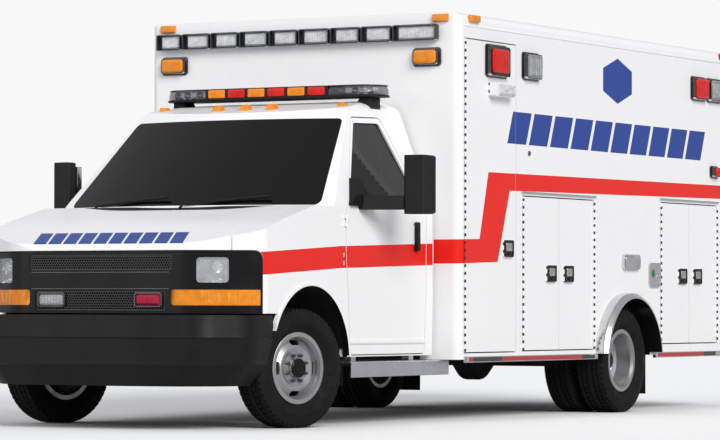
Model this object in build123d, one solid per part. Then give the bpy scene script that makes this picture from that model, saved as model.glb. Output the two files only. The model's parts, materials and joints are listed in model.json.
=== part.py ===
from build123d import *
import math
import os

# Box ambulance on a cutaway van chassis, in millimetres.
# X runs to the vehicle's left, Z up, and Y rearward: it is measured from the bumper's face
# while the pieces are made, and every piece is moved to the middle of the length when written.

# Driving dimensions
wheelbase = 4039
front_axle_y = 1010
rear_axle_y = front_axle_y + wheelbase
tyre_radius = 366
tyre_width = 222
rim_radius = 205
axle_z = tyre_radius

box_front = 2600
box_rear = 6960
box_half = 1190
box_top = 2660
box_bottom = 400
box_corner = 60
box_wall = 60
floor_top = 850
floor_thick = 60
step_depth = 200
overall_length = box_rear + step_depth

cab_half = 1012
cab_rear = 2568
cab_sill = 430
cab_wall = 45
skin = 30
belt_z = 1366
nose_y = 205
nose_z = 1118
fascia_top = 1072
fascia_bottom = 700
fender_front = 464
cab_floor = 640
cab_floor_thick = 40
firewall_y = 1190
roof_rear_z = 2096

screen_base_y = 1050
screen_base_z = 1357
screen_rake = 1.087
screen_radius = 2303
glass = 8

panel_gap = 7
seat_gap = 0.3
running_fit = 0.05

arch_radius = 458
arch_z = 410
liner_thick = 8
liner_inner_x = 590

kingpin_x = 820
front_wheel_x = 863
rest_steer = -14
rear_outer_x = 1105
rear_inner_x = 850

rail_inner = 385
rail_outer = 450
rail_bottom = 455
rail_top = cab_floor - cab_floor_thick
rail_plate = 8

door_thick = 45
door_gap = 8
hinge_radius = 7
hinge_pin = 3
liner_wall = 18
compartment_depth = 420
skirt_rail_z = (380, 420)


# Making shapes
PLACES = {
    "x": lambda u, v, w: Vector(w, u, v),
    "y": lambda u, v, w: Vector(u, w, v),
    "z": lambda u, v, w: Vector(u, v, w),
}


def outline(corners, place):
    """Closed wire through rows of u, v and a corner radius, which may be left out."""
    rows = [(*row, 0)[:3] for row in corners]
    stops = []
    for index, (u, v, radius) in enumerate(rows):
        here = Vector(u, v)
        before = (Vector(*rows[index - 1][:2]) - here).normalized()
        after = (Vector(*rows[(index + 1) % len(rows)][:2]) - here).normalized()
        half = math.radians(before.get_angle(after)) / 2
        if radius <= 0 or half > math.radians(89.9):
            stops.append((here, here, here))
            continue
        reach = radius / math.tan(half)
        middle = here + (before + after).normalized() * (radius / math.sin(half) - radius)
        stops.append((here + before * reach, middle, here + after * reach))
    edges = []
    for index, (start, middle, end) in enumerate(stops):
        following = stops[(index + 1) % len(stops)][0]
        if (end - start).length > 0.01:
            edges.append(Edge.make_three_point_arc(place(start), place(middle), place(end)))
        if (following - end).length > 0.01:
            edges.append(Edge.make_line(place(end), place(following)))
    return Wire(edges)


def section(axis, corners, at):
    """The outline of corners in the plane across one axis."""
    return outline(corners, lambda point: PLACES[axis](point.X, point.Y, at))


def prism(axis, corners, start, end):
    """Outline rows in the two other axes, in X Y Z order, pulled along one axis."""
    step = PLACES[axis](0, 0, end - start)
    return Solid.extrude(Face(section(axis, corners, start)), step)


def inset(corners, distance):
    """The same outline moved inward, with corner radii that keep the wall even."""
    rows = [(*row, 0)[:3] for row in corners]
    count = len(rows)
    area = sum(rows[i - 1][0] * rows[i][1] - rows[i][0] * rows[i - 1][1] for i in range(count))
    side = 1 if area > 0 else -1
    moved = []
    for index, (u, v, radius) in enumerate(rows):
        here = Vector(u, v)
        before = (here - Vector(*rows[index - 1][:2])).normalized()
        after = (Vector(*rows[(index + 1) % count][:2]) - here).normalized()
        turn = before.X * after.Y - before.Y * after.X
        lean = Vector(-before.Y - after.Y, before.X + after.X).normalized() * side
        half = math.radians(before.get_angle(after)) / 2
        point = here + lean * (distance / math.cos(half))
        shrink = distance if turn * side > 0 else -distance
        moved.append((point.X, point.Y, max(radius - shrink, 0) if radius else 0))
    return moved


def mirrored_rows(half_rows):
    """Rows for the left half, from bottom to top or front to back, closed by their mirror."""
    return [*half_rows, *((-row[0], *row[1:]) for row in reversed(half_rows))]


def rectangle(u0, u1, v0, v1, radius=0):
    return [(u0, v0, radius), (u1, v0, radius), (u1, v1, radius), (u0, v1, radius)]


def block(x0, x1, y0, y1, z0, z1):
    return Solid.make_box(x1 - x0, y1 - y0, z1 - z0, Plane((x0, y0, z0)))


def rod(axis, radius, start, end, u=0, v=0):
    way = PLACES[axis](0, 0, 1)
    return Solid.make_cylinder(radius, end - start, Plane(PLACES[axis](u, v, start), z_dir=way))


def rod_between(start, end, radius):
    way = Vector(*end) - Vector(*start)
    return Solid.make_cylinder(radius, way.length, Plane(start, z_dir=way))


def turned(corners):
    """Rows of X along the axle, radius and corner radius, turned about the X axis."""
    wire = outline(corners, lambda point: Vector(point.X, 0, point.Y))
    return Solid.revolve(Face(wire), 360, Axis.X)


def both(*pieces):
    return [*pieces, *(piece.mirror(Plane.YZ) for piece in pieces)]


def joined(pieces):
    pieces = list(pieces)
    return pieces[0].fuse(*pieces[1:]) if len(pieces) > 1 else pieces[0]


written = []


def solids_of(pieces):
    found = []
    for piece in pieces:
        found.extend(solids_of(piece) if isinstance(piece, (list, tuple)) else piece.solids())
    return found


def write(name, *pieces):
    """One STEP file, moved so that the middle of the length lies at Y 0."""
    shift = Location((0, -overall_length / 2, 0))
    placed = [solid.moved(shift) for solid in solids_of(pieces)]
    export_step(placed[0] if len(placed) == 1 else Compound(placed), f"parts/{name}.step")
    written.append(name)


# Outer form of the cab
# rows: x, z, corner radius
cab_section = [
    (1000, 0, 0),
    (1004, cab_sill, 0),
    (cab_half, 820, 1500),
    (1008, 1375, 300),
    (752, 2034, 90),
    (560, 2100, 250),
    (0, 2106, 0),
]
# rows: y, z, corner radius
body_side = [
    (nose_y, 0, 0),
    (nose_y, nose_z, 50),
    (640, 1262, 2500),
    (1075, belt_z, 0),
    (cab_rear + 200, belt_z, 0),
    (cab_rear + 200, 0, 0),
]
body_base = [
    (100, fascia_bottom),
    (100, 1500),
    (cab_rear, 1500),
    (cab_rear, cab_sill),
    (1300, cab_sill),
    (1300, fascia_bottom),
]
greenhouse_side = [
    (1000, screen_base_z - 17, 0),
    (1000, 1859, 0),
    (2150, 2056, 2000),
    (cab_rear, roof_rear_z, 0),
    (cab_rear, screen_base_z - 17, 0),
]
# rows: x, y, corner radius
body_plan = [
    (620, nose_y, 450),
    (1010, 440, 150),
    (cab_half + 4, 620, 0),
    (cab_half + 4, cab_rear + 200, 0),
]


def screen_y(x, z):
    """Where the windscreen's outer face stands at a width and height."""
    bow = screen_radius - math.sqrt(screen_radius**2 - x**2)
    return screen_base_y + (z - screen_base_z) * screen_rake + bow


def screen_front(depth, low, high):
    """Everything behind the windscreen's face, moved back by a depth, between two heights."""
    wide = cab_half + 40
    place = [Vector(x, screen_y(x, low) + depth, low) for x in (-wide, 0, wide)]
    back = cab_rear + 400
    edges = [
        Edge.make_three_point_arc(*place),
        Edge.make_line(place[2], Vector(wide, back, low)),
        Edge.make_line(Vector(wide, back, low), Vector(-wide, back, low)),
        Edge.make_line(Vector(-wide, back, low), place[0]),
    ]
    return Solid.extrude(Face(Wire(edges)), Vector(0, screen_rake, 1) * (high - low))


def section_rows():
    return mirrored_rows(cab_section[:-1])


def lower_body(depth):
    """The body below the windows with the bonnet, with its faces moved inward by a depth."""
    side = prism("x", inset(body_side, depth), -cab_half - 40, cab_half + 40)
    plan = prism("z", inset(mirrored_rows(body_plan), depth), -50, 2300)
    across = prism("y", inset(section_rows(), depth), 0, cab_rear + 300)
    return side & plan & across


def greenhouse(depth):
    """The body above the windows' sill, with its faces moved inward by a depth."""
    rows = inset(greenhouse_side, depth)
    low = screen_base_z - 17 - depth
    side = prism("x", [(1000, low), *rows[1:-1], (rows[-1][0], low)], -cab_half, cab_half)
    across = prism("y", inset(section_rows(), depth), 900, cab_rear + 100)
    front = screen_front(depth * math.hypot(1, screen_rake), low, 2150)
    return side & across & front


body_outer = lower_body(0) & prism("x", body_base, -cab_half - 60, cab_half + 60)
cab_outer = body_outer + greenhouse(0)

# Door and window outlines
# rows: y, z, corner radius
door_rows = [
    (1500, 437, 25),
    (1440, 1080, 300),
    (1440, 1350, 15),
    (1888, 1952, 50),
    (2262, 1962, 60),
    (2492, 1370, 120),
    (2470, 437, 25),
]
window_rows = [
    (1503, 1395, 15),
    (1893, 1912, 40),
    (2228, 1922, 45),
    (2392, 1500, 200),
    (2408, 1395, 20),
]
cab_hinge_radius = 6
cab_hinge_x = cab_half + cab_hinge_radius + seat_gap
cab_hinge_y = 1440 - panel_gap / 2
cab_hinge_heights = (1000, 1240)
cab_hinge_length = 75
# rows: x, z, corner radius
screen_rows = mirrored_rows([(930, 1372, 30), (770, 1938, 40)])


def wheel_house(extra=0):
    """Room for the steered wheels, right across the body."""
    radius = arch_radius + extra
    return rod("x", radius, -cab_half - 60, cab_half + 60, front_axle_y, arch_z)


def door_region(side, rows):
    low, high = (600, cab_half + 60) if side > 0 else (-cab_half - 60, -600)
    return prism("x", rows, low, high)


def across_box(y0, y1, z0, z1):
    """A box right across the cab."""
    return block(-1100, 1100, y0, y1, z0, z1)


def cab_walls():
    """The hollow cab behind the engine bay before its doors and screen are cut."""
    inside = lower_body(cab_wall) & across_box(firewall_y, cab_rear - cab_wall, cab_floor, belt_z + 20)
    upper = greenhouse(cab_wall) & across_box(1000, cab_rear - cab_wall, belt_z - cab_wall, 2200)
    engine_bay = lower_body(skin) & across_box(0, firewall_y - cowl_depth, 0, belt_z)
    below = block(-900, 900, 0, cab_rear + 10, 0, cab_floor - cab_floor_thick)
    return cab_outer - [inside, upper, engine_bay, below]


cowl_depth = 110
hood_half = 848
# rows: y, z, corner radius: everything ahead of the door and of the windscreen's corners
front_region_rows = [
    (0, 0),
    (0, 1500),
    (1236, 1500),
    (1236, 1338),
    (1440 - panel_gap, 1338),
    (1440 - panel_gap, 1080, 300),
    (1500 - panel_gap, 437),
    (1500 - panel_gap, 0),
]
screen_foot = 10


def hood_rows(margin):
    """Plan of the bonnet: rows of x, y and corner radius, its rear edge along the windscreen."""
    corner, middle = 1125 - margin, 972 - margin
    return mirrored_rows([(hood_half - margin, 100), (hood_half - margin, corner, 40), (430, middle, 900)])


skin_shell = (body_outer - lower_body(skin)) - wheel_house()
front_region = prism("x", front_region_rows, -1100, 1100)
behind_screen = screen_front(-screen_foot, belt_z - skin, 1700)


def make_hood():
    """Bonnet: the skin between the wings, with two ribs below it."""
    region = prism("z", hood_rows(0), fascia_top + panel_gap, 1500)
    panel = skin_shell & region
    ribs = [block(x - 20, x + 20, 330, 960, 900, 1500) for x in (-420, 420)]
    inner = lower_body(skin - 1) - lower_body(skin + 25)
    return joined([panel, *(inner & rib for rib in ribs)])


def cab_hinge(z0, z1, leaf_to):
    """A short barrel in front of the door with a leaf let into the panel beside it."""
    barrel = rod("z", cab_hinge_radius, z0, z1, cab_hinge_x, cab_hinge_y)
    leaf = block(cab_half - 8, cab_hinge_x, *sorted((cab_hinge_y, leaf_to)), z0, z1)
    keep = block(cab_half + seat_gap, cab_hinge_x, 0, 3000, z0, z1)
    near = block(cab_half - 8, cab_hinge_x, *sorted((leaf_to - 8, leaf_to + 8)), z0, z1)
    return joined([barrel, leaf & keep, near])


fascia_corner = 48
arch_lip = 22
lip_proud = 7
lip_inner_x = cab_half - 20


def fascia_region(gap, bottom):
    """Everything ahead of the wings and below the bonnet's front edge, seen from the side."""
    rear, top = fender_front - seat_gap + gap, fascia_top + panel_gap * (gap > 0)
    rows = [(100, bottom), (rear, bottom), (rear, top, fascia_corner), (100, top)]
    return prism("x", rows, -1100, 1100)


def make_fenders():
    """Front wings with the wheel arch lips."""
    between = block(-hood_half - panel_gap, hood_half + panel_gap, 0, 1600, 0, 1600)
    wings = (skin_shell & front_region) - [between, fascia_region(seat_gap, 0), behind_screen]
    ring = wheel_house(arch_lip) - wheel_house()
    lip = ring & front_region & block(lip_inner_x, cab_half + lip_proud, 590, 1500, cab_sill + 10, 1000)
    ends = []
    third = cab_hinge_length / 3
    for low in cab_hinge_heights:
        for z in (low, low + 2 * third):
            end = cab_hinge(z, z + third, cab_hinge_y - 22)
            bore = rod("z", hinge_pin + running_fit, z - 1, z + third + 1, cab_hinge_x, cab_hinge_y)
            ends.append(end - bore)
    return joined([*wings.solids(), *both(*ends, lip)])


# Front of the cab
# rows: x, z, corner radius, on the left half
headlamp_rows = rectangle(669, 838, 884, 1036, 22)
turn_lamp_rows = rectangle(512, 1100, 748, 842, 14)
headlamp_rear = fender_front - 60
turn_lamp_rear = fender_front - 14
# rows: half width, z from, z to
grille_bands = ((515, 957, 1055), (470, 712, 836))


def make_fascia():
    """Black moulded panel around the grille and lamps."""
    panel = skin_shell & fascia_region(0, fascia_bottom)
    cuts = []
    for half, low, high in grille_bands:
        cuts.append(prism("y", rectangle(-half, half, low, high, 12), 100, 330))
    for rows, rear in ((headlamp_rows, headlamp_rear), (turn_lamp_rows, turn_lamp_rear)):
        cuts.extend(both(prism("y", rows, 100, rear)))
    return panel - cuts


def lamp_lens(rows, rear, thick):
    """A lens that fills its cut in the fascia and follows its face."""
    lens_skin = lower_body(1) - lower_body(1 + thick)
    cut = prism("y", inset(rows, seat_gap), 100, rear - seat_gap)
    return both(lens_skin & cut)


def make_grille():
    """Upright and level bars in both bands, with the frames of the two small lamps."""
    pieces = []
    for half, low, high in grille_bands:
        half, low, high = half - seat_gap, low + seat_gap, high - seat_gap
        frame = prism("y", rectangle(-half, half, low, high, 12), nose_y + 6, nose_y + 22)
        frame -= block(-half + 8, half - 8, nose_y, nose_y + 40, low + 8, high - 8)
        count = 24
        bars = [
            block(x - 3, x + 3, nose_y + 8, nose_y + 20, low + 4, high - 4)
            for x in (half * (2 * i / count - 1) for i in range(1, count))
        ]
        level = [
            block(-half + 4, half - 4, nose_y + 8, nose_y + 20, z - 3, z + 3)
            for z in (low + (high - low) * i / 4 for i in range(1, 4))
        ]
        pieces.append(joined([frame, *bars, *level]))
    return pieces


# rows: x from, x to, z from, z to, colour
grille_lamps = [
    (252, 452, 735, 826, "red"),
    (-452, -252, 735, 826, "clear"),
]


def make_bumper():
    """Front bumper: a moulded shell with a stepped face, open at the rear."""
    # rows: z, how far the face stands back, how much narrower each side is
    levels = [(265, 45, 165), (383, 12, 44), (395, 0, 30), (548, 0, 0), (557, 12, 12), (690, 26, 22)]
    lowest = levels[0][0]

    def form(depth):
        wires = []
        for z, back, narrow in levels:
            side = cab_half + 2 - narrow
            half = [(350, back, 1200), (side - 214, 70 + back, 250), (side, 330, 200), (side, 590, 0)]
            row = inset(mirrored_rows(half), depth)
            row = [(x, 590 if y > 500 else y, radius) for x, y, radius in row]
            height = z + (depth if z == lowest else 0)
            wires.append(section("z", row, height))
        return Solid.make_loft(wires, True)

    inner = form(35) & block(-1100, 1100, -10, 700, 0, 690 - 35)
    shell = form(0) - [inner, wheel_house(liner_thick + 4), block(-700, 700, 230, 700, 200, 700)]
    brackets = both(block(rail_inner, rail_outer, 20, 160, rail_bottom, rail_top))
    return joined([shell, *(bracket & form(1) for bracket in brackets)])


def make_headlamps():
    return lamp_lens(headlamp_rows, headlamp_rear, 20)


# Cab body with its openings
walls = cab_walls()


way_half = 330
way_top = 1860
way_floor = 860
leg_x = 900


def around_way(wall, floor):
    """A wall's solids beside, above and below the way through it, seated face to face."""
    pieces = []
    for x0, x1 in ((way_half, leg_x), (leg_x, box_half + 1)):
        pieces.append(wall & block(x0, x1, 2400, 2800, 0, box_top))
        pieces.append(wall & block(-x1, -x0, 2400, 2800, 0, box_top))
    for z0, z1 in ((0, floor), (way_top, box_top)):
        pieces.append(wall & block(-way_half, way_half, 2400, 2800, z0, z1))
    return pieces


def make_cab_shell():
    """Roof with pillars, lower sides, floor, firewall and rear wall, seated face to face."""
    screen_cut = prism("y", screen_rows, 900, 1850)
    passage = block(-way_half, way_half, cab_rear - 200, cab_rear + 60, way_floor - 100, way_top)
    inner_body = lower_body(cab_wall + 5) + greenhouse(cab_wall + 5)
    doorways = [door_region(side, door_rows) - inner_body for side in (1, -1)]
    outer_skin = (lower_body(-2) - lower_body(skin + seat_gap)) & front_region
    ahead = across_box(0, firewall_y - cowl_depth, 0, belt_z - skin - seat_gap)
    middle = block(-liner_inner_x + 12, liner_inner_x - 12, 0, cab_rear, 0, 1400)
    arches = wheel_house(liner_thick + 4) - middle
    shell = walls - [screen_cut, passage, *doorways, outer_skin - behind_screen, ahead, arches]
    rear = cab_rear - cab_wall
    regions = [
        block(-900, 900, firewall_y, rear, 0, cab_floor),
        across_box(0, firewall_y, 0, belt_z),
        across_box(rear, cab_rear + 100, 0, 2200),
    ]
    rest = shell - regions
    regions.append(across_box(0, rear, belt_z, 2200))
    panels = [shell & regions[0], shell & regions[1], rest & regions[3]]
    panels.extend(around_way(shell & regions[2], way_floor - 100))
    for x0, x1 in ((-1100, 0), (0, 1100)):
        panels.append(rest & block(x0, x1, 0, rear, 0, belt_z))
    return panels


def make_windshield():
    rows = inset(screen_rows, seat_gap)
    pane = greenhouse(0) - screen_front(glass * math.hypot(1, screen_rake), 1300, 2200)
    return pane & prism("y", rows, 900, 1850)


def make_cab_door(side):
    """Cab door: the wall inside its outline, with the window cut and an upright handle."""
    rows = inset(door_rows, panel_gap)
    wall = cab_outer - [lower_body(cab_wall), greenhouse(cab_wall)]
    panel = (wall & door_region(side, rows)) - door_region(side, window_rows)
    handle = block(cab_half - 25, cab_half + 26, 2318, 2352, 1140, 1265)
    handle -= block(cab_half + 2, cab_half + 14, 2300, 2360, 1165, 1240)
    inner, outer = cab_half - 25, cab_half + 3
    ledge_rows = [(inner, 506), (outer - 4, 506), (outer, 514), (outer, 530), (inner, 538)]
    ledge = prism("y", ledge_rows, 1503, 2462)
    pieces = [handle, ledge]
    third = cab_hinge_length / 3
    for low in cab_hinge_heights:
        pieces.append(cab_hinge(low + third + seat_gap, low + 2 * third - seat_gap, cab_hinge_y + 24))
        pieces.append(rod("z", hinge_pin, low + 3, low + cab_hinge_length - 3, cab_hinge_x, cab_hinge_y))
    return joined([panel, *(piece if side > 0 else piece.mirror(Plane.YZ) for piece in pieces)])


def make_door_glass(side):
    band = greenhouse(12) - greenhouse(18)
    return band & door_region(side, inset(window_rows, seat_gap))


def make_mirror(side):
    """Tow mirror: a deep head on two arms, with a foot on the door."""
    plan = [(1238, 1772, 10), (1428, 1850, 14), (1436, 1800, 20), (1392, 1738, 25), (1272, 1716, 25)]
    head = prism("z", plan, 1322, 1692)
    face = prism("y", rectangle(1228, 1440, 1322, 1692, 45), 1700, 1860)
    foot_rows = [(1480, 1372, 6), (1722, 1372, 6), (1722, 1448, 10), (1652, 1470, 30), (1604, 1560, 12)]
    foot = prism("x", foot_rows, 880, 1030)
    arm_rows = [(985, 1610), (1040, 1600, 20), (1262, 1735, 20), (1262, 1775), (985, 1690)]
    arms = [prism("z", arm_rows, 1350, 1438)]
    shape = joined([head & face, foot, *arms]) - cab_outer
    largest = max(shape.solids(), key=lambda solid: solid.volume)
    return largest if side > 0 else largest.mirror(Plane.YZ)


def make_cab_interior():
    """Dash, steering wheel and column, and two seats."""
    front = firewall_y
    dash_rows = [(front, 880), (front, 1300, 30), (1420, 1290, 60), (1470, 1150, 60), (1400, 900, 40)]
    dash = prism("x", dash_rows, -900, 900) & lower_body(cab_wall + 4)
    column = rod_between((400, 1380, 1080), (400, 1640, 1180), 30)
    wheel = Solid.make_torus(190, 16, Plane((400, 1650, 1184), z_dir=(0, 260, 100)))
    spokes = block(210, 590, 1636, 1662, 1170, 1198)
    seats = []
    for x in (-430, 430):
        base = block(x - 180, x + 180, 1900, 2300, cab_floor, 800)
        cushion = prism("x", rectangle(1840, 2340, 800, 930, 50), x - 250, x + 250)
        back_rows = [(2250, 900, 40), (2400, 930, 30), (2490, 1560, 50), (2390, 1580, 50)]
        back = prism("x", back_rows, x - 240, x + 240)
        rest = prism("x", rectangle(2410, 2500, 1590, 1760, 35), x - 130, x + 130)
        post = block(x - 60, x + 60, 2430, 2470, 1500, 1620)
        seats.append(joined([base, cushion, back, rest, post]))
    return [joined([dash, column, wheel, spokes]), *seats]


def make_cowl():
    """Black panel below the windscreen with its two wipers."""
    strip = block(-hood_half, hood_half, 900, 1300, 1200, 1500) - prism("z", hood_rows(-panel_gap), 0, 1600)
    panel = (skin_shell & strip) - behind_screen
    off_glass = 34
    wipers = []
    for x0, x1 in ((60, 620), (-640, -80)):
        low, high = belt_z + 14, belt_z + 62
        start = (x0, screen_y(x0, low) - off_glass, low)
        end = (x1, screen_y(x1, high) - off_glass, high)
        wipers.append(rod_between(start, end, 8))
        foot_y = screen_y(x0, belt_z - skin) - screen_foot - 12
        wipers.append(rod_between((x0, foot_y, belt_z - 12), start, 8))
    return joined([panel, *wipers])


# Running gear
def make_frame():
    """Two channel rails, cross members, spring hangers and the joists below the box."""
    channel = [
        (rail_inner, rail_bottom),
        (rail_outer, rail_bottom),
        (rail_outer, rail_top),
        (rail_inner, rail_top),
        (rail_inner, rail_top - rail_plate),
        (rail_outer - rail_plate, rail_top - rail_plate),
        (rail_outer - rail_plate, rail_bottom + rail_plate),
        (rail_inner, rail_bottom + rail_plate),
    ]
    rails = both(prism("y", channel, 160, rail_end))
    web = rail_outer - rail_plate
    members = [
        block(-web, web, y, y + 60, tank_top, rail_top - rail_plate)
        for y in (300, 2000, 3300, 4250, 5800, 6440)
    ]
    floor_low = floor_top - floor_thick
    joists = []
    for y in (2700, 3440, 4080, 4480, 5520, 6150, 6820):
        joists.append(block(-joist_half, joist_half, y, y + 50, floor_low - joist_deep, floor_low))
        joists.extend(both(block(rail_inner, rail_outer, y, y + 50, rail_top, floor_low - joist_deep)))
    hangers = both(
        *(block(rail_outer, spring_x + 34, y, y + 60, rail_bottom, 560) for y in (4340, 5700))
    )
    return [*rails, *members, *joists, *hangers]


rail_end = box_rear - box_wall
tank_top = 520
joist_deep = 90
joist_half = box_half - box_wall - compartment_depth - 10
spring_x = 520


def make_front_suspension():
    """Cross member with an upper and a lower arm to each steering pivot."""
    member = block(-480, 480, 930, 1090, 330, rail_bottom)
    pieces = [member]
    for low, high, root in ((205, knuckle_low - seat_gap, 345), (knuckle_high + seat_gap, 527, 425)):
        arm_rows = [
            (460, root), (460, root + 35), (770, high), (kingpin_x, high), (kingpin_x, low), (770, low),
        ]
        arm = prism("y", arm_rows, 970, 1050)
        eye = rod("z", 36, low, high, kingpin_x, front_axle_y)
        pin_low, pin_high = (high, high + 26) if low < axle_z else (low - 26, low)
        pin = rod("z", pin_radius, pin_low - 2, pin_high, kingpin_x, front_axle_y)
        if low > axle_z:
            pin = rod("z", pin_radius, pin_low, pin_high + 2, kingpin_x, front_axle_y)
        pieces.extend(both(arm, eye, pin))
    towers = both(block(rail_outer, 480, 940, 1080, 420, 480))
    return joined([*pieces, *towers])


knuckle_low = 250
knuckle_high = 482
pin_radius = 14
spindle_radius = 34
spindle_end = 40
hub_inner = -4


def steered(piece, side):
    """A piece made straight ahead on one side, turned to the rest angle about its pivot."""
    pivot = Axis((side * kingpin_x, front_axle_y, 0), (0, 0, 1))
    return piece.rotate(pivot, rest_steer)


def make_knuckle(side):
    """Upright between the arms, with the wheel spindle and the steering arm."""
    upright = rod("z", 36, knuckle_low, knuckle_high, kingpin_x, front_axle_y)
    spindle = rod("x", spindle_radius, kingpin_x - 10, front_wheel_x + spindle_end, front_axle_y, axle_z)
    flange = rod("x", 62, kingpin_x + 20, front_wheel_x + hub_inner - seat_gap, front_axle_y, axle_z)
    arm = block(kingpin_x - 60, kingpin_x - 25, front_axle_y, front_axle_y + 150, 300, 325)
    arm_root = block(kingpin_x - 60, kingpin_x, front_axle_y - 18, front_axle_y + 18, 300, 325)
    sockets = [
        rod("z", pin_radius + running_fit, knuckle_low - 1, knuckle_low + 30, kingpin_x, front_axle_y),
        rod("z", pin_radius + running_fit, knuckle_high - 30, knuckle_high + 1, kingpin_x, front_axle_y),
    ]
    piece = joined([upright, spindle, flange, arm, arm_root]) - sockets
    return steered(piece if side > 0 else piece.mirror(Plane.YZ), side)


# rows: x from the wheel's middle, radius, corner radius
flange_x = 74
bead_x = flange_x - seat_gap
tyre_rows = [
    (-bead_x, rim_radius + seat_gap, 0),
    (-bead_x, rim_radius + 20, 0),
    (-tyre_width / 2, 286, 60),
    (-97, tyre_radius, 30),
    (97, tyre_radius, 30),
    (tyre_width / 2, 286, 60),
    (bead_x, rim_radius + 20, 0),
    (bead_x, rim_radius + seat_gap, 0),
]
barrel_rows = [
    (-82, rim_radius - 14), (-82, rim_radius + 16, 4), (-flange_x, rim_radius + 16, 2),
    (-flange_x, rim_radius), (flange_x, rim_radius), (flange_x, rim_radius + 16, 2),
    (82, rim_radius + 16, 4), (82, rim_radius - 12),
    (60, rim_radius - 22, 20), (-60, rim_radius - 22, 20),
]
front_disc_rows = [
    (10, rim_radius - 16), (30, rim_radius - 16, 12), (66, 132, 16), (56, 100, 14), (56, 30),
    (42, 30), (42, 104, 14), (50, 124, 14), (16, rim_radius - 20, 10), (4, rim_radius - 18),
]
rear_disc_rows = [
    (-62, rim_radius - 18), (-44, rim_radius - 18), (-70, 150, 30), (-113, 128, 12), (-113, 30),
    (-127.5, 30), (-127.5, 138, 12), (-84, 158, 30),
]


def hand_holes(count, pitch, x0, x1, radius):
    """Round cutters through a wheel disc, evenly spaced."""
    holes = []
    for index in range(count):
        angle = 2 * math.pi * (index + 0.5) / count
        holes.append(rod("x", radius, x0, x1, pitch * math.cos(angle), pitch * math.sin(angle)))
    return holes


def oval_holes(count, pitch, x0, x1, radius, reach):
    """Oval cutters through a wheel disc, longer around the wheel than across it."""
    holes = []
    for index in range(count):
        slot = joined([
            rod("x", radius, x0, x1, -reach, pitch),
            rod("x", radius, x0, x1, reach, pitch),
            block(x0, x1, -reach, reach, pitch - radius, pitch + radius),
        ])
        holes.append(slot.rotate(Axis.X, 360 * index / count))
    return holes


def placed_wheel(piece, side, x, y):
    piece = piece if side > 0 else piece.mirror(Plane.YZ)
    return piece.moved(Location((side * x, y, axle_z)))


def front_rim(side):
    hub = turned([(hub_inner, 30), (hub_inner, 70), (40, 70, 6), (82, 58, 10), (82, 0), (46, 0), (46, 30)])
    bore = rod("x", spindle_radius + running_fit, hub_inner - 1, spindle_end + 4)
    rim = joined([turned(barrel_rows), turned(front_disc_rows), hub]) - bore
    rim = rim - oval_holes(4, 156, 0, 90, 16, 26)
    return steered(placed_wheel(rim, side, front_wheel_x, front_axle_y), side)


def front_tyre(side):
    return steered(placed_wheel(turned(tyre_rows), side, front_wheel_x, front_axle_y), side)


rear_middle = (rear_outer_x + rear_inner_x) / 2
rear_spindle = 40


def rear_rims(side):
    """Both rims of a twin wheel, back to back on one hub."""
    offset = (rear_outer_x - rear_inner_x) / 2
    single = joined([turned(barrel_rows), turned(rear_disc_rows)]) - hand_holes(8, 118, -150, -80, 17)
    outer = single.moved(Location((offset, 0, 0)))
    inner = single.mirror(Plane.YZ).moved(Location((-offset, 0, 0)))
    drum = [(-60, 45), (-60, 95), (70, 95, 8), (70, 62, 8)]
    hub = turned([*drum, (108, 58, 10), (108, 0), (70, 0), (70, 45)])
    bore = rod("x", rear_spindle + running_fit, -70, 60)
    pair = joined([outer, inner, hub]) - bore
    return placed_wheel(pair, side, rear_middle, rear_axle_y)


def rear_tyres(side):
    tyre = turned(tyre_rows)
    return [placed_wheel(tyre, side, x, rear_axle_y) for x in (rear_outer_x, rear_inner_x)]


def make_rear_axle():
    """Axle tube with its differential, spindles and the leaf springs above it."""
    tube = rod("x", 48, -(rear_middle - 70), rear_middle - 70, rear_axle_y, axle_z)
    spindles = rod("x", rear_spindle, -(rear_middle + 55), rear_middle + 55, rear_axle_y, axle_z)
    bowl = turned([(-150, 0), (-150, 60, 30), (-70, 150, 60), (70, 150, 60), (150, 60, 30), (150, 0)])
    diff = bowl.moved(Location((0, rear_axle_y, axle_z)))
    nose = rod("y", 60, rear_axle_y - 220, rear_axle_y, 0, axle_z)
    spring_rows = [
        (4400, 480), (4400, 510), (rear_axle_y, 440, 1400), (5700, 510), (5700, 480),
        (rear_axle_y, 395, 1400),
    ]
    springs = both(prism("x", spring_rows, spring_x - 32, spring_x + 32))
    return joined([tube, spindles, diff, nose, *springs])


def make_powertrain():
    """Engine and gearbox as plain blocks, the drive shaft and the exhaust."""
    engine = prism("y", rectangle(-260, 260, rail_bottom, 930, 40), 430, 1075)
    box_rows = [
        (1094, 335), (1094, 460), (1070, 460), (1070, 512), (1400, 505), (1850, 440, 20), (1850, 345, 20),
    ]
    gearbox = prism("x", box_rows, -130, 130)
    shaft = rod_between((0, 1840, 390), (0, rear_axle_y - 225, axle_z), 42)
    pipe = rod("y", 32, 1300, 4400, -210, 415)
    silencer = prism("y", rectangle(-330, -90, 350, 480, 60), 3380, 4000)
    branch = rod_between((-130, 1300, 415), (-215, 1300, 415), 32)
    return joined([engine, gearbox, shaft, pipe, silencer, branch])


def make_fuel_tank():
    return prism("y", rectangle(-355, 355, 350, tank_top, 50), 5720, 6560)


def make_wheelhouse_liners():
    """Dark liners over the front wheels, each closed on its inner side."""
    ring = wheel_house(liner_thick) - wheel_house()
    band = ring & block(liner_inner_x, lip_inner_x - seat_gap, 400, 1600, 480, 1000)
    outer = rod("x", arch_radius + liner_thick, liner_inner_x - 8, liner_inner_x, front_axle_y, arch_z)
    inner_wall = outer & block(0, 1000, 400, 1600, 640, 1000)
    fender_skin = body_outer - lower_body(skin + seat_gap)
    return both(joined([band, inner_wall]) - fender_skin)


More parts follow.
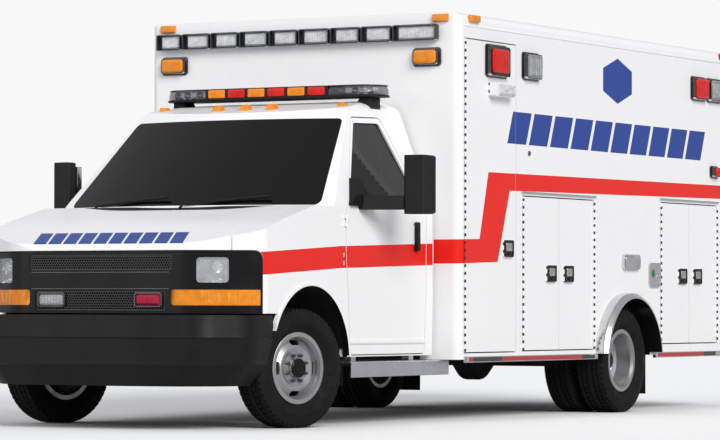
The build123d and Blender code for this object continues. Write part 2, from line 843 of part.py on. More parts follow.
# Patient box
def box_form(depth):
    """The box with round upright and top edges, its faces moved inward by a depth."""
    plan = rectangle(-box_half, box_half, box_front, box_rear, box_corner)
    across = [
        (box_half, box_bottom), (box_half, box_top, box_corner),
        (-box_half, box_top, box_corner), (-box_half, box_bottom),
    ]
    return prism("z", inset(plan, depth), box_bottom, box_top - depth) & prism(
        "y", inset(across, depth), box_front, box_rear
    )


inner_half = box_half - box_wall
inner_front = box_front + box_wall
inner_rear = box_rear - box_wall
inner_top = box_top - box_wall
box_hollow = block(-inner_half, inner_half, inner_front, inner_rear, 0, inner_top)
box_skin = box_form(0) - box_hollow


def box_slice(y0, y1, z0, z1):
    """Part of the box's walls between two places, right across."""
    return box_skin & block(-box_half - 1, box_half + 1, y0, y1, z0, z1)


# rows: name, side (1 street, -1 curb), y from, y to, z from, z to, hinge edge (-1 front, 1 rear)
side_doors = [
    ("street_tall_door", 1, 2664, 3406, 440, 2495, -1),
    ("street_front_door_a", 1, 3495, 4045, 445, 1490, -1),
    ("street_front_door_b", 1, 4045, 4590, 445, 1490, 1),
    ("street_rear_door_a", 1, 5690, 6190, 475, 1505, -1),
    ("street_rear_door_b", 1, 6190, 6690, 475, 1505, 1),
    ("curb_entry_door", -1, 3180, 3960, 470, 2330, -1),
    ("curb_rear_door", -1, 5720, 6640, 475, 1505, 1),
]
# rows: side, y from, y to, z from, z to, depth of the compartment behind it
compartments = [
    (1, inner_front + liner_wall, 3406, 440, 2495, compartment_depth),
    (1, 3495, 4590, 445, 1490, compartment_depth),
    (1, 5690, 6690, 475, 1505, compartment_depth),
    (-1, 5720, 6640, 475, 1505, compartment_depth),
]
rear_door_half = 640
rear_door_z = (590, 2330)
rear_window = (170, 520, 1500, 2080)
entry_window = (3330, 3810, 1480, 2080)


def side_wall(side):
    """One side of the box with its doorways and the wheel arch."""
    panel = box_skin & block(inner_half, box_half + 1, inner_front, inner_rear, 0, inner_top)
    panel = panel if side > 0 else panel.mirror(Plane.YZ)
    cuts = [rod("x", flare_inner, -box_half - 5, box_half + 5, flare_y, axle_z)]
    knuckles = []
    for _, door_side, y0, y1, z0, z1, hinge in side_doors:
        if door_side == side:
            cuts.append(prism("x", rectangle(y0, y1, z0, z1, 12), -box_half - 5, box_half + 5))
            knuckles.extend(hinge_ends(side, y0 if hinge < 0 else y1, z0, z1, hinge))
    for opening_side, y0, y1, z0, z1, _ in compartments:
        if opening_side == side:
            cuts.append(prism("x", rectangle(y0, y1, z0, z1, 12), -box_half - 5, box_half + 5))
    return joined([panel - cuts, *knuckles])


hinge_x = box_half + hinge_radius + seat_gap
hinge_leaf = 3
hinge_end = 40


def hinge_barrel(y, z0, z1, leaf_to):
    """A barrel along a door's edge with the leaf that holds it to the panel beside it."""
    barrel = rod("z", hinge_radius, z0, z1, hinge_x, y)
    leaf = block(box_half, hinge_x, min(y, leaf_to), max(y, leaf_to), z0, z1)
    leaf &= block(box_half, box_half + hinge_leaf, 0, box_rear, 0, box_top)
    return joined([barrel, leaf])


def hinge_middle(edge, hinge):
    """Where a hinge's axis lies beside a door's edge: in the middle of the gap."""
    return edge - hinge * door_gap / 2


def hinge_ends(side, edge, z0, z1, hinge):
    """The two knuckles on the wall that hold the door's pin."""
    y = hinge_middle(edge, hinge)
    knuckles = []
    for low in (z0 + door_gap, z1 - door_gap - hinge_end):
        knuckle = hinge_barrel(y, low, low + hinge_end, edge + hinge * 14)
        knuckle -= rod("z", hinge_pin + running_fit, low - 1, low + hinge_end + 1, hinge_x, y)
        knuckles.append(knuckle if side > 0 else knuckle.mirror(Plane.YZ))
    return knuckles


def hinge_of_door(edge, z0, z1, hinge):
    """The long barrel on the door, with a pin that runs out into the wall's knuckles."""
    y = hinge_middle(edge, hinge)
    low, high = z0 + door_gap + hinge_end + seat_gap, z1 - door_gap - hinge_end - seat_gap
    barrel = hinge_barrel(y, low, high, edge - hinge * 32)
    pin = rod("z", hinge_pin, z0 + door_gap + 4, z1 - door_gap - 4, hinge_x, y)
    return joined([barrel, pin])


flare_inner = 432
flare_outer = 478
flare_proud = 95
flare_y = rear_axle_y + 36


def side_door(name, side, y0, y1, z0, z1, hinge):
    """A flush door with its latch plate; the tall one also carries two lamps."""
    free0 = door_gap if (y0, side) not in shared_edges else door_gap / 2
    free1 = door_gap if (y1, side) not in shared_edges else door_gap / 2
    rows = rectangle(y0 + free0, y1 - free1, z0 + door_gap, z1 - door_gap, 8)
    pieces = [prism("x", rows, box_half - door_thick, box_half)]
    latch_y = y1 - latch_inset if hinge < 0 else y0 + latch_inset
    latch_z = 970 if z1 < 2000 else 1130
    plate = rectangle(latch_y - 68, latch_y + 68, latch_z - 56, latch_z + 56, 12)
    pieces.append(prism("x", plate, box_half - 5, box_half + 12))
    if name == "street_tall_door":
        pieces.append(prism("x", rectangle(2966, 3244, 2266, 2460, 25), box_half - 5, box_half + 30))
        pieces.append(prism("x", rectangle(2996, 3275, 2129, 2219, 12), box_half - 5, box_half + 60))
    pieces.append(hinge_of_door(y0 if hinge < 0 else y1, z0, z1, hinge))
    door = joined(pieces)
    if name == "curb_entry_door":
        door = door - prism("x", rectangle(*entry_window, 60), box_half - 100, box_half + 50)
    return door if side > 0 else door.mirror(Plane.YZ)


shared_edges = {(4045, 1), (6190, 1)}
latch_inset = 132


def rear_door(side):
    """One of the two rear doors with its window cut and a latch plate."""
    z0, z1 = rear_door_z
    rows = rectangle(door_gap / 2, rear_door_half - door_gap, z0 + door_gap, z1 - door_gap, 8)
    door = prism("y", rows, box_rear - door_thick, box_rear)
    latch = prism("y", rectangle(40, 110, 1120, 1260, 10), box_rear - 5, box_rear + 14)
    x0, x1, w0, w1 = rear_window
    hinge = to_rear(hinge_of_door(rear_door_half, z0, z1, 1))
    pane = prism("y", rectangle(x0, x1, w0, w1, 60), box_rear - 100, box_rear + 50)
    door = joined([door, latch, hinge]) - pane
    return door if side > 0 else door.mirror(Plane.YZ)


def make_rear_frame():
    panel = box_slice(inner_rear, box_rear + 1, 0, inner_top)
    z0, z1 = rear_door_z
    opening = rectangle(-rear_door_half, rear_door_half, z0, z1, 12)
    doorway = prism("y", opening, box_rear - 200, box_rear + 50)
    below = block(-1000, 1000, box_rear - 100, box_rear + 10, 0, 530)
    knuckles = [to_rear(piece) for piece in hinge_ends(1, rear_door_half, z0, z1, 1)]
    return joined([panel - [doorway, below], *both(*knuckles)])


def to_rear(piece):
    """Takes a piece made on the street side, with Y for its width, to the rear wall."""
    turned_piece = piece.mirror(Plane((0, 0, 0), z_dir=(1, -1, 0)))
    return turned_piece.moved(Location((0, box_rear - box_half, 0)))


def make_front_wall():
    panel = box_slice(box_front - 1, inner_front, 0, inner_top)
    passage = block(-way_half, way_half, box_front - 50, box_front + 200, way_floor, way_top)
    wall = panel - [passage, block(-leg_x, leg_x, box_front - 5, box_front + 100, 0, 660)]
    return around_way(wall, way_floor)


def make_roof():
    return box_slice(box_front - 1, box_rear + 1, inner_top, box_top + 1)


def make_floor():
    slab = block(-inner_half, inner_half, inner_front, inner_rear, floor_top - floor_thick, floor_top)
    cuts = [
        block(
            *sorted((side * inner_half, side * (inner_half - depth))),
            y0 - liner_wall, y1 + liner_wall, 0, floor_top + 10,
        )
        for side, y0, y1, z0, z1, depth in compartments
    ]
    cuts.append(block(-inner_half, -inner_half + 320, 3180, 3960, 0, floor_top + 10))
    return slab - cuts


def make_liners():
    """The boxes behind the outside doors, and the step well behind the entry door."""
    wall = liner_wall
    pieces = []
    for side, y0, y1, z0, z1, depth in compartments:
        deep = inner_half - depth
        outer = block(deep, inner_half, y0 - wall, y1 + wall, z0 - wall, z1 + wall)
        liner = outer - block(deep + wall, inner_half + 1, y0, y1, z0, z1)
        pieces.append(liner if side > 0 else liner.mirror(Plane.YZ))
    well = block(-inner_half, -inner_half + 320, 3180, 3960, 470 - wall, floor_top)
    well -= block(-inner_half - 1, -inner_half + 320 - wall, 3180 + wall, 3960 - wall, 470, floor_top + 1)
    pieces.append(well)
    return pieces


def make_side_trim():
    """Wheel arch flares, the rails along the skirts and the drip rails over the doors."""
    ring_rows = [
        (box_half, flare_inner),
        (box_half, flare_outer),
        (box_half + flare_proud - 30, flare_outer, 26),
        (box_half + flare_proud, flare_inner + 18, 10),
        (box_half + flare_proud, flare_inner + 5),
    ]
    ring = turned(ring_rows).moved(Location((0, flare_y, axle_z)))
    flare = ring & block(box_half - 10, box_half + 100, 4000, 6200, skirt_rail_z[1], 1000)
    pieces = []
    spans = (
        (box_front + box_corner, flare_y - flare_outer),
        (flare_y + flare_outer, box_rear - box_corner),
    )
    for side in (1, -1):
        rails = [
            prism("y", rectangle(box_half, box_half + 24, *skirt_rail_z, 6), y0, y1) for y0, y1 in spans
        ]
        drips = [
            block(box_half, box_half + 14, y0 - 20, y1 + 20, z1 + 16, z1 + 26)
            for door_side, y0, y1, z0, z1, _ in compartments
            if door_side == side and z1 < 2000
        ]
        for piece in (flare, *rails, *drips):
            pieces.append(piece if side > 0 else piece.mirror(Plane.YZ))
    inlet = prism("x", rectangle(5040, 5310, 1010, 1116, 30), box_half, box_half + 22)
    filler = prism("x", rectangle(5484, 5672, 890, 1058, 40), box_half, box_half + 12)
    return [*pieces, inlet, filler]


def make_rubber_guards():
    """Mud flaps behind the wheels and the boot between cab and box."""
    rear = both(block(720, inner_half - seat_gap, 5560, 5568, 120, 640))
    front = both(block(865, 1000, board_front - 7, board_front, 250, board_top))
    boot = prism("y", rectangle(-430, 430, 700, 1950, 60), cab_rear, box_front)
    gap = way_half + 2
    boot_parts = []
    for x0, x1 in ((gap, 500), (-500, -gap)):
        boot_parts.append(boot & block(x0, x1, cab_rear, box_front, 0, box_top))
    for z0, z1 in ((600, way_floor - 98), (way_top - 2, 2000)):
        boot_parts.append(boot & block(-gap, gap, cab_rear, box_front, z0, z1))
    return [*rear, *front, *boot_parts]


board_front = 1420
board_top = box_bottom - 2


def make_running_boards():
    """Tread boards below the cab doors, hung from the sills."""
    plate = board_top - 10
    rows = [
        (860, plate), (860, board_top), (1060, board_top, 10), (1060, 302, 6), (1050, 302, 3), (1050, plate),
    ]
    board = prism("y", rows, board_front, 2700)
    feet = [block(905, 955, y, y + 60, board_top - 5, cab_sill) for y in (1600, 2350)]
    return both(joined([board, *feet]))


def make_rear_step():
    """Tread step behind the box on two brackets from the rails."""
    board = prism("y", rectangle(-1150, 1150, 430, 500, 12), box_rear, box_rear + step_depth)
    board -= block(-1138, 1138, box_rear - 1, box_rear + step_depth - 14, 425, 488)
    arms = both(block(rail_inner, rail_outer, rail_end, box_rear + 100, rail_bottom, 500))
    return joined([board, *arms])


# Lamps
# rows: face, u from, u to, z from, z to, colour; u is Y on a side and X on the front or rear
lamp_row_edges = [-1125, -919, -691, -465, -233, -3, 240, 473, 712, 1046]
box_lamps = [
    ("street", 3480, 3730, 2262, 2454, "clear"),
    ("street", 6215, 6475, 2266, 2449, "red"),
    ("street", 6490, 6750, 2266, 2449, "clear"),
    ("street", 6560, 6700, 1702, 1797, "amber"),
    ("curb", 2840, 3118, 2266, 2460, "red"),
    ("curb", 6215, 6475, 2266, 2449, "red"),
    ("curb", 6490, 6750, 2266, 2449, "clear"),
    ("curb", 6560, 6700, 1702, 1797, "amber"),
    ("front", 848, 1056, 2306, 2432, "amber"),
    ("front", -1100, -892, 2306, 2432, "amber"),
    ("rear", 800, 1080, 2360, 2540, "red"),
    ("rear", -1080, -800, 2360, 2540, "red"),
    ("rear", -140, 140, 2380, 2500, "clear"),
    ("rear", 900, 1080, 760, 960, "red"),
    ("rear", -1080, -900, 760, 960, "red"),
    ("rear", 900, 1080, 980, 1100, "amber"),
    ("rear", -1080, -900, 980, 1100, "amber"),
    *(
        ("front", low + 8, high - 8, 2474, 2582, "clear")
        for low, high in zip(lamp_row_edges, lamp_row_edges[1:])
    ),
]
# rows: x, y, z of the small lamps' middles, half sizes in x, y and z
marker_lamps = {
    "amber": [
        *((x, 1985, 2026, 34, 40, 22) for x in (-682, 672)),
        *((x, 1900, 2026, 34, 40, 22) for x in (-212, -4, 196)),
        *((x, box_front - 12, 2622, 60, 12, 26) for x in (-1050, 1050)),
        *((x, 2790, 2623, 12, 70, 24) for x in (-box_half - 12, box_half + 12)),
    ],
    "red": [
        *((x, box_rear + 12, 2622, 70, 12, 24) for x in (-1035, -200, 0, 200, 1035)),
        *((x, 6800, 2623, 12, 70, 24) for x in (-box_half - 12, box_half + 12)),
    ],
}


def on_face(face, u0, u1, v0, v1, near, far, radius):
    """A rounded plate on one face of the box, from one height off it to another."""
    if face in ("street", "curb"):
        plate = prism("x", rectangle(u0, u1, v0, v1, radius), box_half + near, box_half + far)
        return plate if face == "street" else plate.mirror(Plane.YZ)
    if face == "front":
        return prism("y", rectangle(u0, u1, v0, v1, radius), box_front - far, box_front - near)
    return prism("y", rectangle(u0, u1, v0, v1, radius), box_rear + near, box_rear + far)


def make_lamp_housings():
    return [on_face(face, u0, u1, z0, z1, 0, 22, 20) for face, u0, u1, z0, z1, _ in box_lamps]


def make_lamps(colour):
    """All lenses of one colour on the body: box, cab roof, light bar and grille."""
    pieces = [
        on_face(face, u0 + 18, u1 - 18, z0 + 16, z1 - 16, 22, 55, 24)
        for face, u0, u1, z0, z1, shade in box_lamps
        if shade == colour
    ]
    for x, y, z, half_x, half_y, half_z in marker_lamps.get(colour, []):
        lamp = block(x - half_x, x + half_x, y - half_y, y + half_y, z - half_z, z + half_z)
        pieces.append(lamp - cab_outer)
    for x0, x1, z0, z1, shade in grille_lamps:
        if shade == colour:
            pieces.append(prism("y", rectangle(x0, x1, z0, z1, 12), nose_y - 14, nose_y + 8))
    for index, shade in enumerate(bar_modules):
        if shade == colour:
            x0 = bar_module_start + index * bar_module_width
            module = rectangle(x0 + 10, x0 + bar_module_width - 10, 2112, 2168, 8)
            pieces.append(prism("y", module, bar_front - 6, bar_front + 60))
    if colour == "amber":
        pieces.extend(lamp_lens(turn_lamp_rows, turn_lamp_rear, 14))
    return pieces


bar_half = 818
bar_front = 2140
bar_rear = 2390
bar_bottom = 2096
bar_modules = ["amber", "red", "amber", "red", "amber", "red"]
bar_module_width = 152
bar_module_start = -bar_module_width * len(bar_modules) / 2


def make_lightbar():
    """Roof bar: a tray and cover on two feet, with room for the coloured modules."""
    plan = [(bar_half - 90, bar_front, 40), (bar_half, bar_front + 85, 50), (bar_half, bar_rear, 60)]
    tray = prism("z", mirrored_rows(plan), bar_bottom, 2108)
    cover = prism("z", inset(mirrored_rows(plan), 6), 2108, 2174)
    reach = bar_module_width * len(bar_modules) / 2
    row = block(-reach, reach, bar_front - 10, bar_front + 60 + seat_gap, 2108, 2180)
    dividers = [
        block(x - 8, x + 8, bar_front + 6, bar_front + 62, 2108, 2172)
        for x in (bar_module_start + bar_module_width * i for i in range(len(bar_modules) + 1))
    ]
    feet = []
    for x in (-722, 722):
        rows = [(x - 70, 2000), (x + 70, 2000), (x + 30, bar_bottom + 2), (x - 30, bar_bottom + 2)]
        feet.append(prism("y", rows, bar_front + 60, bar_rear - 60))
    return joined([tray, cover - row, *dividers, *(foot - cab_outer for foot in feet)])


def door_pane(side):
    """Glass of the entry door and the rear doors, filling its cut."""
    if side == 0:
        y0, y1, z0, z1 = entry_window
        return prism("x", inset(rectangle(y0, y1, z0, z1, 60), seat_gap), -box_half + 14, -box_half + 20)
    x0, x1, z0, z1 = rear_window
    pane = prism("y", inset(rectangle(x0, x1, z0, z1, 60), seat_gap), box_rear - 20, box_rear - 14)
    return pane if side > 0 else pane.mirror(Plane.YZ)


# Writing the pieces
SIDES = (("left", 1), ("right", -1))

write("chassis_frame", *make_frame())
write("powertrain", make_powertrain())
write("fuel_tank", make_fuel_tank())
write("front_suspension", make_front_suspension())
write("rear_axle", make_rear_axle())
write("front_bumper", make_bumper())
write("front_fascia", make_fascia())
write("grille", *make_grille())
write("headlamps", *make_headlamps())
write("front_fenders", make_fenders())
write("hood", make_hood())
write("cab_shell", *make_cab_shell())
write("windshield", make_windshield())
write("cab_interior", *make_cab_interior())
write("cowl_and_wipers", make_cowl())
write("wheelhouse_liners", *make_wheelhouse_liners())
write("running_boards", *make_running_boards())
write("lightbar", make_lightbar())
write("module_floor", make_floor())
write("module_roof", make_roof())
write("module_front_wall", *make_front_wall())
write("module_street_side", side_wall(1))
write("module_curb_side", side_wall(-1))
write("module_rear_frame", make_rear_frame())
write("compartment_liners", *make_liners())
write("side_trim", *make_side_trim())
write("rubber_guards", *make_rubber_guards())
write("rear_step", make_rear_step())
write("lamp_housings", *make_lamp_housings())
for shade in ("red", "clear", "amber"):
    write(f"{shade}_lamps", *make_lamps(shade))
for row in side_doors:
    write(row[0], side_door(*row))
write("curb_entry_glass", door_pane(0))
for label, side in SIDES:
    write(f"cab_door_{label}", make_cab_door(side))
    write(f"door_glass_{label}", make_door_glass(side))
    write(f"mirror_{label}", make_mirror(side))
    write(f"rear_door_{label}", rear_door(side))
    write(f"rear_glass_{label}", door_pane(side))
    write(f"knuckle_{label}", make_knuckle(side))
    write(f"front_rim_{label}", front_rim(side))
    write(f"front_tyre_{label}", front_tyre(side))
    write(f"rear_rims_{label}", rear_rims(side))
    write(f"rear_tyres_{label}", *rear_tyres(side))
print(len(written), "files written")
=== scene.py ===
import json
import math

import bpy
from bpy.props import FloatProperty, FloatVectorProperty, IntProperty, PointerProperty
from mathutils import Matrix, Vector


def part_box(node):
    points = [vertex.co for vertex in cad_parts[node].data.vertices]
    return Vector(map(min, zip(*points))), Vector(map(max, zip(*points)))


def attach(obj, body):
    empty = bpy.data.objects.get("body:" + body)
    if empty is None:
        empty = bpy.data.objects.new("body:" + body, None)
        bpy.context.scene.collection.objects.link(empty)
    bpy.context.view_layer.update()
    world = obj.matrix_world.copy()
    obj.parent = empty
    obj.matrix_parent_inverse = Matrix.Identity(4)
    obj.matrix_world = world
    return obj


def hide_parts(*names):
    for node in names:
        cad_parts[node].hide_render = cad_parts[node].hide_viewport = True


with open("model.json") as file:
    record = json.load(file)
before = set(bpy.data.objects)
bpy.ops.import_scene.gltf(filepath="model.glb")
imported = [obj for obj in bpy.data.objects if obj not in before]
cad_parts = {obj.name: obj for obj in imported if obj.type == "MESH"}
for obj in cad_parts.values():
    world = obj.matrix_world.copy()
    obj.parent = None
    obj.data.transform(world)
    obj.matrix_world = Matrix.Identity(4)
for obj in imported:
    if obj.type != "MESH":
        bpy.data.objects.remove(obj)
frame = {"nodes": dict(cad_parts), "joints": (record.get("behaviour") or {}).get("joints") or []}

bl_info = {
    "name": "Box ambulance",
    "version": (1, 0, 0),
    "blender": (4, 5, 0),
    "location": "View3D > Sidebar > Ambulance",
    "description": "Dresses a box ambulance around its CAD frame",
    "category": "Object",
}

# The frame's Y runs rearward from the middle of the length; tables give Y from the bumper's face.
HALF_LENGTH = 3.58


def from_front(y):
    """A place measured rearward from the bumper's face, in the frame's Y."""
    return y - HALF_LENGTH


# Sizes and colours that a user may change
def colour_setting(name, description, value):
    return FloatVectorProperty(
        name=name, description=description, subtype="COLOR", size=3, min=0, max=1, default=value
    )


def length_setting(name, description, value):
    return FloatProperty(name=name, description=description, unit="LENGTH", min=0, default=value)


class AmbulanceColours(bpy.types.PropertyGroup):
    """Colours of the paint, plastics and lamps"""

    coach_white: colour_setting("Coach white", "Paint of the cab and the box", (0.88, 0.875, 0.88))
    stripe_red: colour_setting("Stripe red", "Band along the sides", (0.80, 0.020, 0.012))
    mark_blue: colour_setting("Mark blue", "Blocks and hexagon on the paint", (0.022, 0.060, 0.30))
    plastic_black: colour_setting("Plastic black", "Bumper, mirrors and fascia", (0.008, 0.008, 0.009))
    lamp_red: colour_setting("Lamp red", "Red lenses", (0.75, 0.018, 0.012))
    lamp_amber: colour_setting("Lamp amber", "Amber lenses", (0.95, 0.30, 0.02))
    steel_silver: colour_setting("Wheel silver", "Paint of the steel wheels", (0.46, 0.45, 0.46))
    tread_black: colour_setting("Tyre black", "Rubber of the tyres", (0.009, 0.009, 0.009))


class AmbulanceSizes(bpy.types.PropertyGroup):
    """Sizes of the detail that is added to the frame"""

    tread_depth: length_setting("Tread depth", "Depth of the grooves in the tyres", 0.009)
    mesh_pitch: length_setting("Mesh pitch", "Distance between the cells of the grille", 0.0175)
    nut_size: length_setting("Wheel nut", "Radius of the wheel nuts", 0.0125)
    lens_ribs: IntProperty(
        name="Lens ribs", description="Upright ribs on each square lens", min=2, max=20, default=7
    )


# Materials
class Finish:
    """A material that is put together from nodes, on the piece's own Object coordinates."""

    def __init__(self, name, colour, roughness, metallic=0.0, **sockets):
        self.material = bpy.data.materials.new(name)
        self.material.use_nodes = True
        self.tree = self.material.node_tree
        self.shader = self.tree.nodes["Principled BSDF"]
        self.colour = (*colour[:3], 1.0)
        self.shader.inputs["Base Color"].default_value = self.colour
        self.shader.inputs["Roughness"].default_value = roughness
        self.shader.inputs["Metallic"].default_value = metallic
        for socket, value in sockets.items():
            self.shader.inputs[socket.replace("_", " ")].default_value = value
        self.place = self.tree.nodes.new("ShaderNodeTexCoord")
        self.split = self.node("ShaderNodeSeparateXYZ", {0: self.place.outputs["Object"]})
        self.x, self.y, self.z = self.split.outputs

    def node(self, kind, inputs, **settings):
        """A new node with its settings, its inputs linked to sockets or set to numbers."""
        made = self.tree.nodes.new(kind)
        for setting, value in settings.items():
            setattr(made, setting, value)
        for key, value in inputs.items():
            if isinstance(value, bpy.types.NodeSocket):
                self.tree.links.new(value, made.inputs[key])
            else:
                made.inputs[key].default_value = value
        return made

    def link(self, output, socket):
        self.tree.links.new(output, self.shader.inputs[socket])

    def math(self, operation, *values):
        """The result of a math node on sockets or numbers."""
        return self.node("ShaderNodeMath", dict(enumerate(values)), operation=operation).outputs[0]

    def above(self, value, limit):
        return self.math("GREATER_THAN", value, limit)

    def below(self, value, limit):
        return self.math("LESS_THAN", value, limit)

    def all_of(self, *masks):
        result = masks[0]
        for mask in masks[1:]:
            result = self.math("MULTIPLY", result, mask)
        return result

    def any_of(self, *masks):
        result = masks[0]
        for mask in masks[1:]:
            result = self.math("MAXIMUM", result, mask)
        return result

    def between(self, value, low, high):
        return self.all_of(self.above(value, low), self.below(value, high))

    def along(self, value, corners):
        """Height of a broken line through rows of place and height."""
        total = corners[0][1]
        for (start, low), (end, high) in zip(corners, corners[1:]):
            step = self.node("ShaderNodeMapRange", {0: value, 1: start, 2: end, 3: 0.0, 4: high - low})
            total = self.math("ADD", total, step.outputs[0])
        return total

    def noise(self, scale, detail=2.0, stretch=None):
        """Fine noise, with its scale in cycles a metre."""
        where = self.place.outputs["Object"]
        if stretch:
            where = self.node("ShaderNodeMapping", {"Vector": where, "Scale": stretch}).outputs[0]
        made = self.node("ShaderNodeTexNoise", {"Vector": where, "Scale": scale, "Detail": detail})
        return made.outputs[0]

    def ranged(self, value, low, high, start=0.3, end=0.7):
        made = self.node("ShaderNodeMapRange", {0: value, 1: start, 2: end, 3: low, 4: high})
        return made.outputs[0]

    def mixed(self, share, first, second):
        """One colour over another by a mask."""
        made = self.node("ShaderNodeMix", {0: share, 6: first, 7: second}, data_type="RGBA")
        return made.outputs[2]

    def bump(self, height, strength, distance):
        made = self.node("ShaderNodeBump", {"Height": height, "Strength": strength, "Distance": distance})
        self.link(made.outputs[0], "Normal")

    def uneven(self, low, high, scale):
        """Roughness that varies softly over the piece."""
        self.link(self.ranged(self.noise(scale), low, high), "Roughness")

    def shaded(self, colour, amount, scale=3.0):
        """The colour with soft variation, a little darker in places."""
        dark = (*(part * (1 - amount) for part in self.colour[:3]), 1.0)
        return self.mixed(self.ranged(self.noise(scale, 4.0), 0.0, 1.0), dark, colour)

    def worn(self, shade, rough, grain=None, stretch=None):
        """Soft variation of colour and roughness, and a fine grain: scale, detail, strength, distance."""
        self.link(self.shaded(self.colour, *shade), "Base Color")
        self.uneven(*rough)
        if grain:
            scale, detail, strength, distance = grain
            self.bump(self.noise(scale, detail, stretch), strength, distance)
        return self


finishes = {}

# Livery, in metres: rows of Y from the bumper's face and Z
BAND_LOW = [(0.417, 0.930), (1.384, 0.981), (2.580, 1.013), (2.600, 1.023), (3.138, 1.039)]
BAND_HIGH = [(0.417, 1.067), (1.384, 1.118), (2.580, 1.153), (2.600, 1.180), (2.880, 1.187)]
UPPER_LOW = [(3.312, 1.515), (6.755, 1.555)]
UPPER_HIGH = [(3.005, 1.629), (6.755, 1.655)]
# the slanting part between the bands: Y at a height, the height and the change of Y with it
SLANT_FRONT = (2.880, 1.187, 0.283)
SLANT_REAR = (3.138, 1.039, 0.366)
# rows of slanted blocks: start, count, pitch, share of each that is blue, slant, low, high
SIDE_BLOCKS = (3.275, 10, 0.316, 0.87, 0.395, 1.830, 2.045)
HOOD_BLOCKS = (-0.50, 10, 0.11, 0.86, -0.40, 0.222, 0.425)
# middle, half width of an even hexagon and how far it is stretched lengthwise
HEXAGON = (4.973, 2.338, 0.139, 1.70)
BOX_SIDE = 1.187
BOX_FRONT = 2.600
BOX_CORNER = 0.060
# axles of the arches: Y from the bumper's face, and Z
FRONT_ARCH = (1.010, 0.410)
REAR_ARCH = (5.085, 0.366)
SHADOW = (0.006, 0.006, 0.006, 1.0)


def livery(paint):
    """Masks of the red band and the blue marks on the outer faces of the cab and the box."""
    rows_of = lambda corners: [(from_front(y), z) for y, z in corners]
    wide = paint.math("ABSOLUTE", paint.x)
    facing = paint.node("ShaderNodeSeparateXYZ", {0: paint.place.outputs["Normal"]})
    outward = paint.math("MULTIPLY", facing.outputs[0], paint.math("SIGN", paint.x))
    box_side = paint.above(wide, BOX_SIDE)
    box_end = paint.all_of(
        paint.above(wide, 1.0),
        paint.between(paint.y, from_front(BOX_FRONT - 0.005), from_front(BOX_FRONT + BOX_CORNER - 0.001)),
    )
    cab_side = paint.all_of(
        paint.below(paint.y, from_front(BOX_FRONT - 0.01)), paint.above(outward, 0.35), paint.above(wide, 0.8)
    )

    def slant(line):
        """Where the slanting part's edge is, at each height."""
        y, z, slope = line
        rise = paint.math("MULTIPLY", paint.math("SUBTRACT", paint.z, z), slope)
        return paint.math("ADD", rise, from_front(y))

    behind = paint.math("GREATER_THAN", paint.y, slant(SLANT_FRONT))
    ahead = paint.math("LESS_THAN", paint.y, slant(SLANT_REAR))
    low = paint.math("GREATER_THAN", paint.z, paint.along(paint.y, rows_of(BAND_LOW)))
    high = paint.math("LESS_THAN", paint.z, paint.along(paint.y, rows_of(BAND_HIGH)))
    upper_low = paint.math("GREATER_THAN", paint.z, paint.along(paint.y, rows_of(UPPER_LOW)))
    upper_high = paint.math("LESS_THAN", paint.z, paint.along(paint.y, rows_of(UPPER_HIGH)))
    red = paint.all_of(
        paint.any_of(
            paint.all_of(low, high, ahead),
            paint.all_of(behind, ahead, low, upper_high),
            paint.all_of(behind, upper_low, upper_high),
        ),
        paint.any_of(box_side, box_end, cab_side),
    )

    def blocks(row, along, across, start):
        """Mask of a row of slanted blocks."""
        first, count, pitch, share, slope, bottom, top = row
        rise = paint.math("MULTIPLY", paint.math("SUBTRACT", across, bottom - start), slope)
        step = paint.math("SUBTRACT", paint.math("SUBTRACT", along, rise), first)
        cell = paint.math("FRACT", paint.math("DIVIDE", step, pitch))
        return paint.all_of(
            paint.below(cell, share),
            paint.between(step, 0.0, count * pitch),
            paint.between(across, bottom - start, top - start),
        )

    side_row = (SIDE_BLOCKS[0] - HALF_LENGTH, *SIDE_BLOCKS[1:])
    on_side = paint.all_of(box_side, blocks(side_row, paint.y, paint.z, 0.0))
    y, z, reach, stretch = HEXAGON
    off_y = paint.math("ABSOLUTE", paint.math("SUBTRACT", paint.y, from_front(y)))
    off_y = paint.math("DIVIDE", off_y, stretch)
    off_z = paint.math("ABSOLUTE", paint.math("SUBTRACT", paint.z, z))
    across = paint.math("ADD", paint.math("MULTIPLY", off_z, 0.866), paint.math("MULTIPLY", off_y, 0.5))
    hexagon = paint.all_of(box_side, paint.below(across, reach), paint.below(off_y, reach))
    on_hood = paint.all_of(
        blocks(HOOD_BLOCKS, paint.x, paint.y, HALF_LENGTH), paint.above(facing.outputs[2], 0.3)
    )
    return red, paint.any_of(on_side, hexagon, on_hood)


def near_axle(finish, axle, reach):
    """Mask of what lies within a distance of an axle."""
    off_y = finish.math("SUBTRACT", finish.y, from_front(axle[0]))
    off_z = finish.math("SUBTRACT", finish.z, axle[1])
    square = finish.math("ADD", finish.math("MULTIPLY", off_y, off_y), finish.math("MULTIPLY", off_z, off_z))
    return finish.below(square, reach * reach)


def wheel_room_shade(paint):
    """Mask of the edges and walls around the wheels, where shade is painted near black."""
    inside = paint.below(paint.math("ABSOLUTE", paint.x), 1.1905)
    rear = paint.all_of(near_axle(paint, REAR_ARCH, 0.4325), inside)
    return paint.any_of(near_axle(paint, FRONT_ARCH, 0.4595), rear)


def hinge_gap_shade(paint):
    """Mask of painted shade in the gaps between the knuckles of the long hinges."""
    proud = paint.between(paint.math("ABSOLUTE", paint.x), 1.1932, 1.2045)
    cell = paint.math("FRACT", paint.math("DIVIDE", paint.z, 0.050))
    return paint.all_of(proud, paint.below(cell, 0.40))


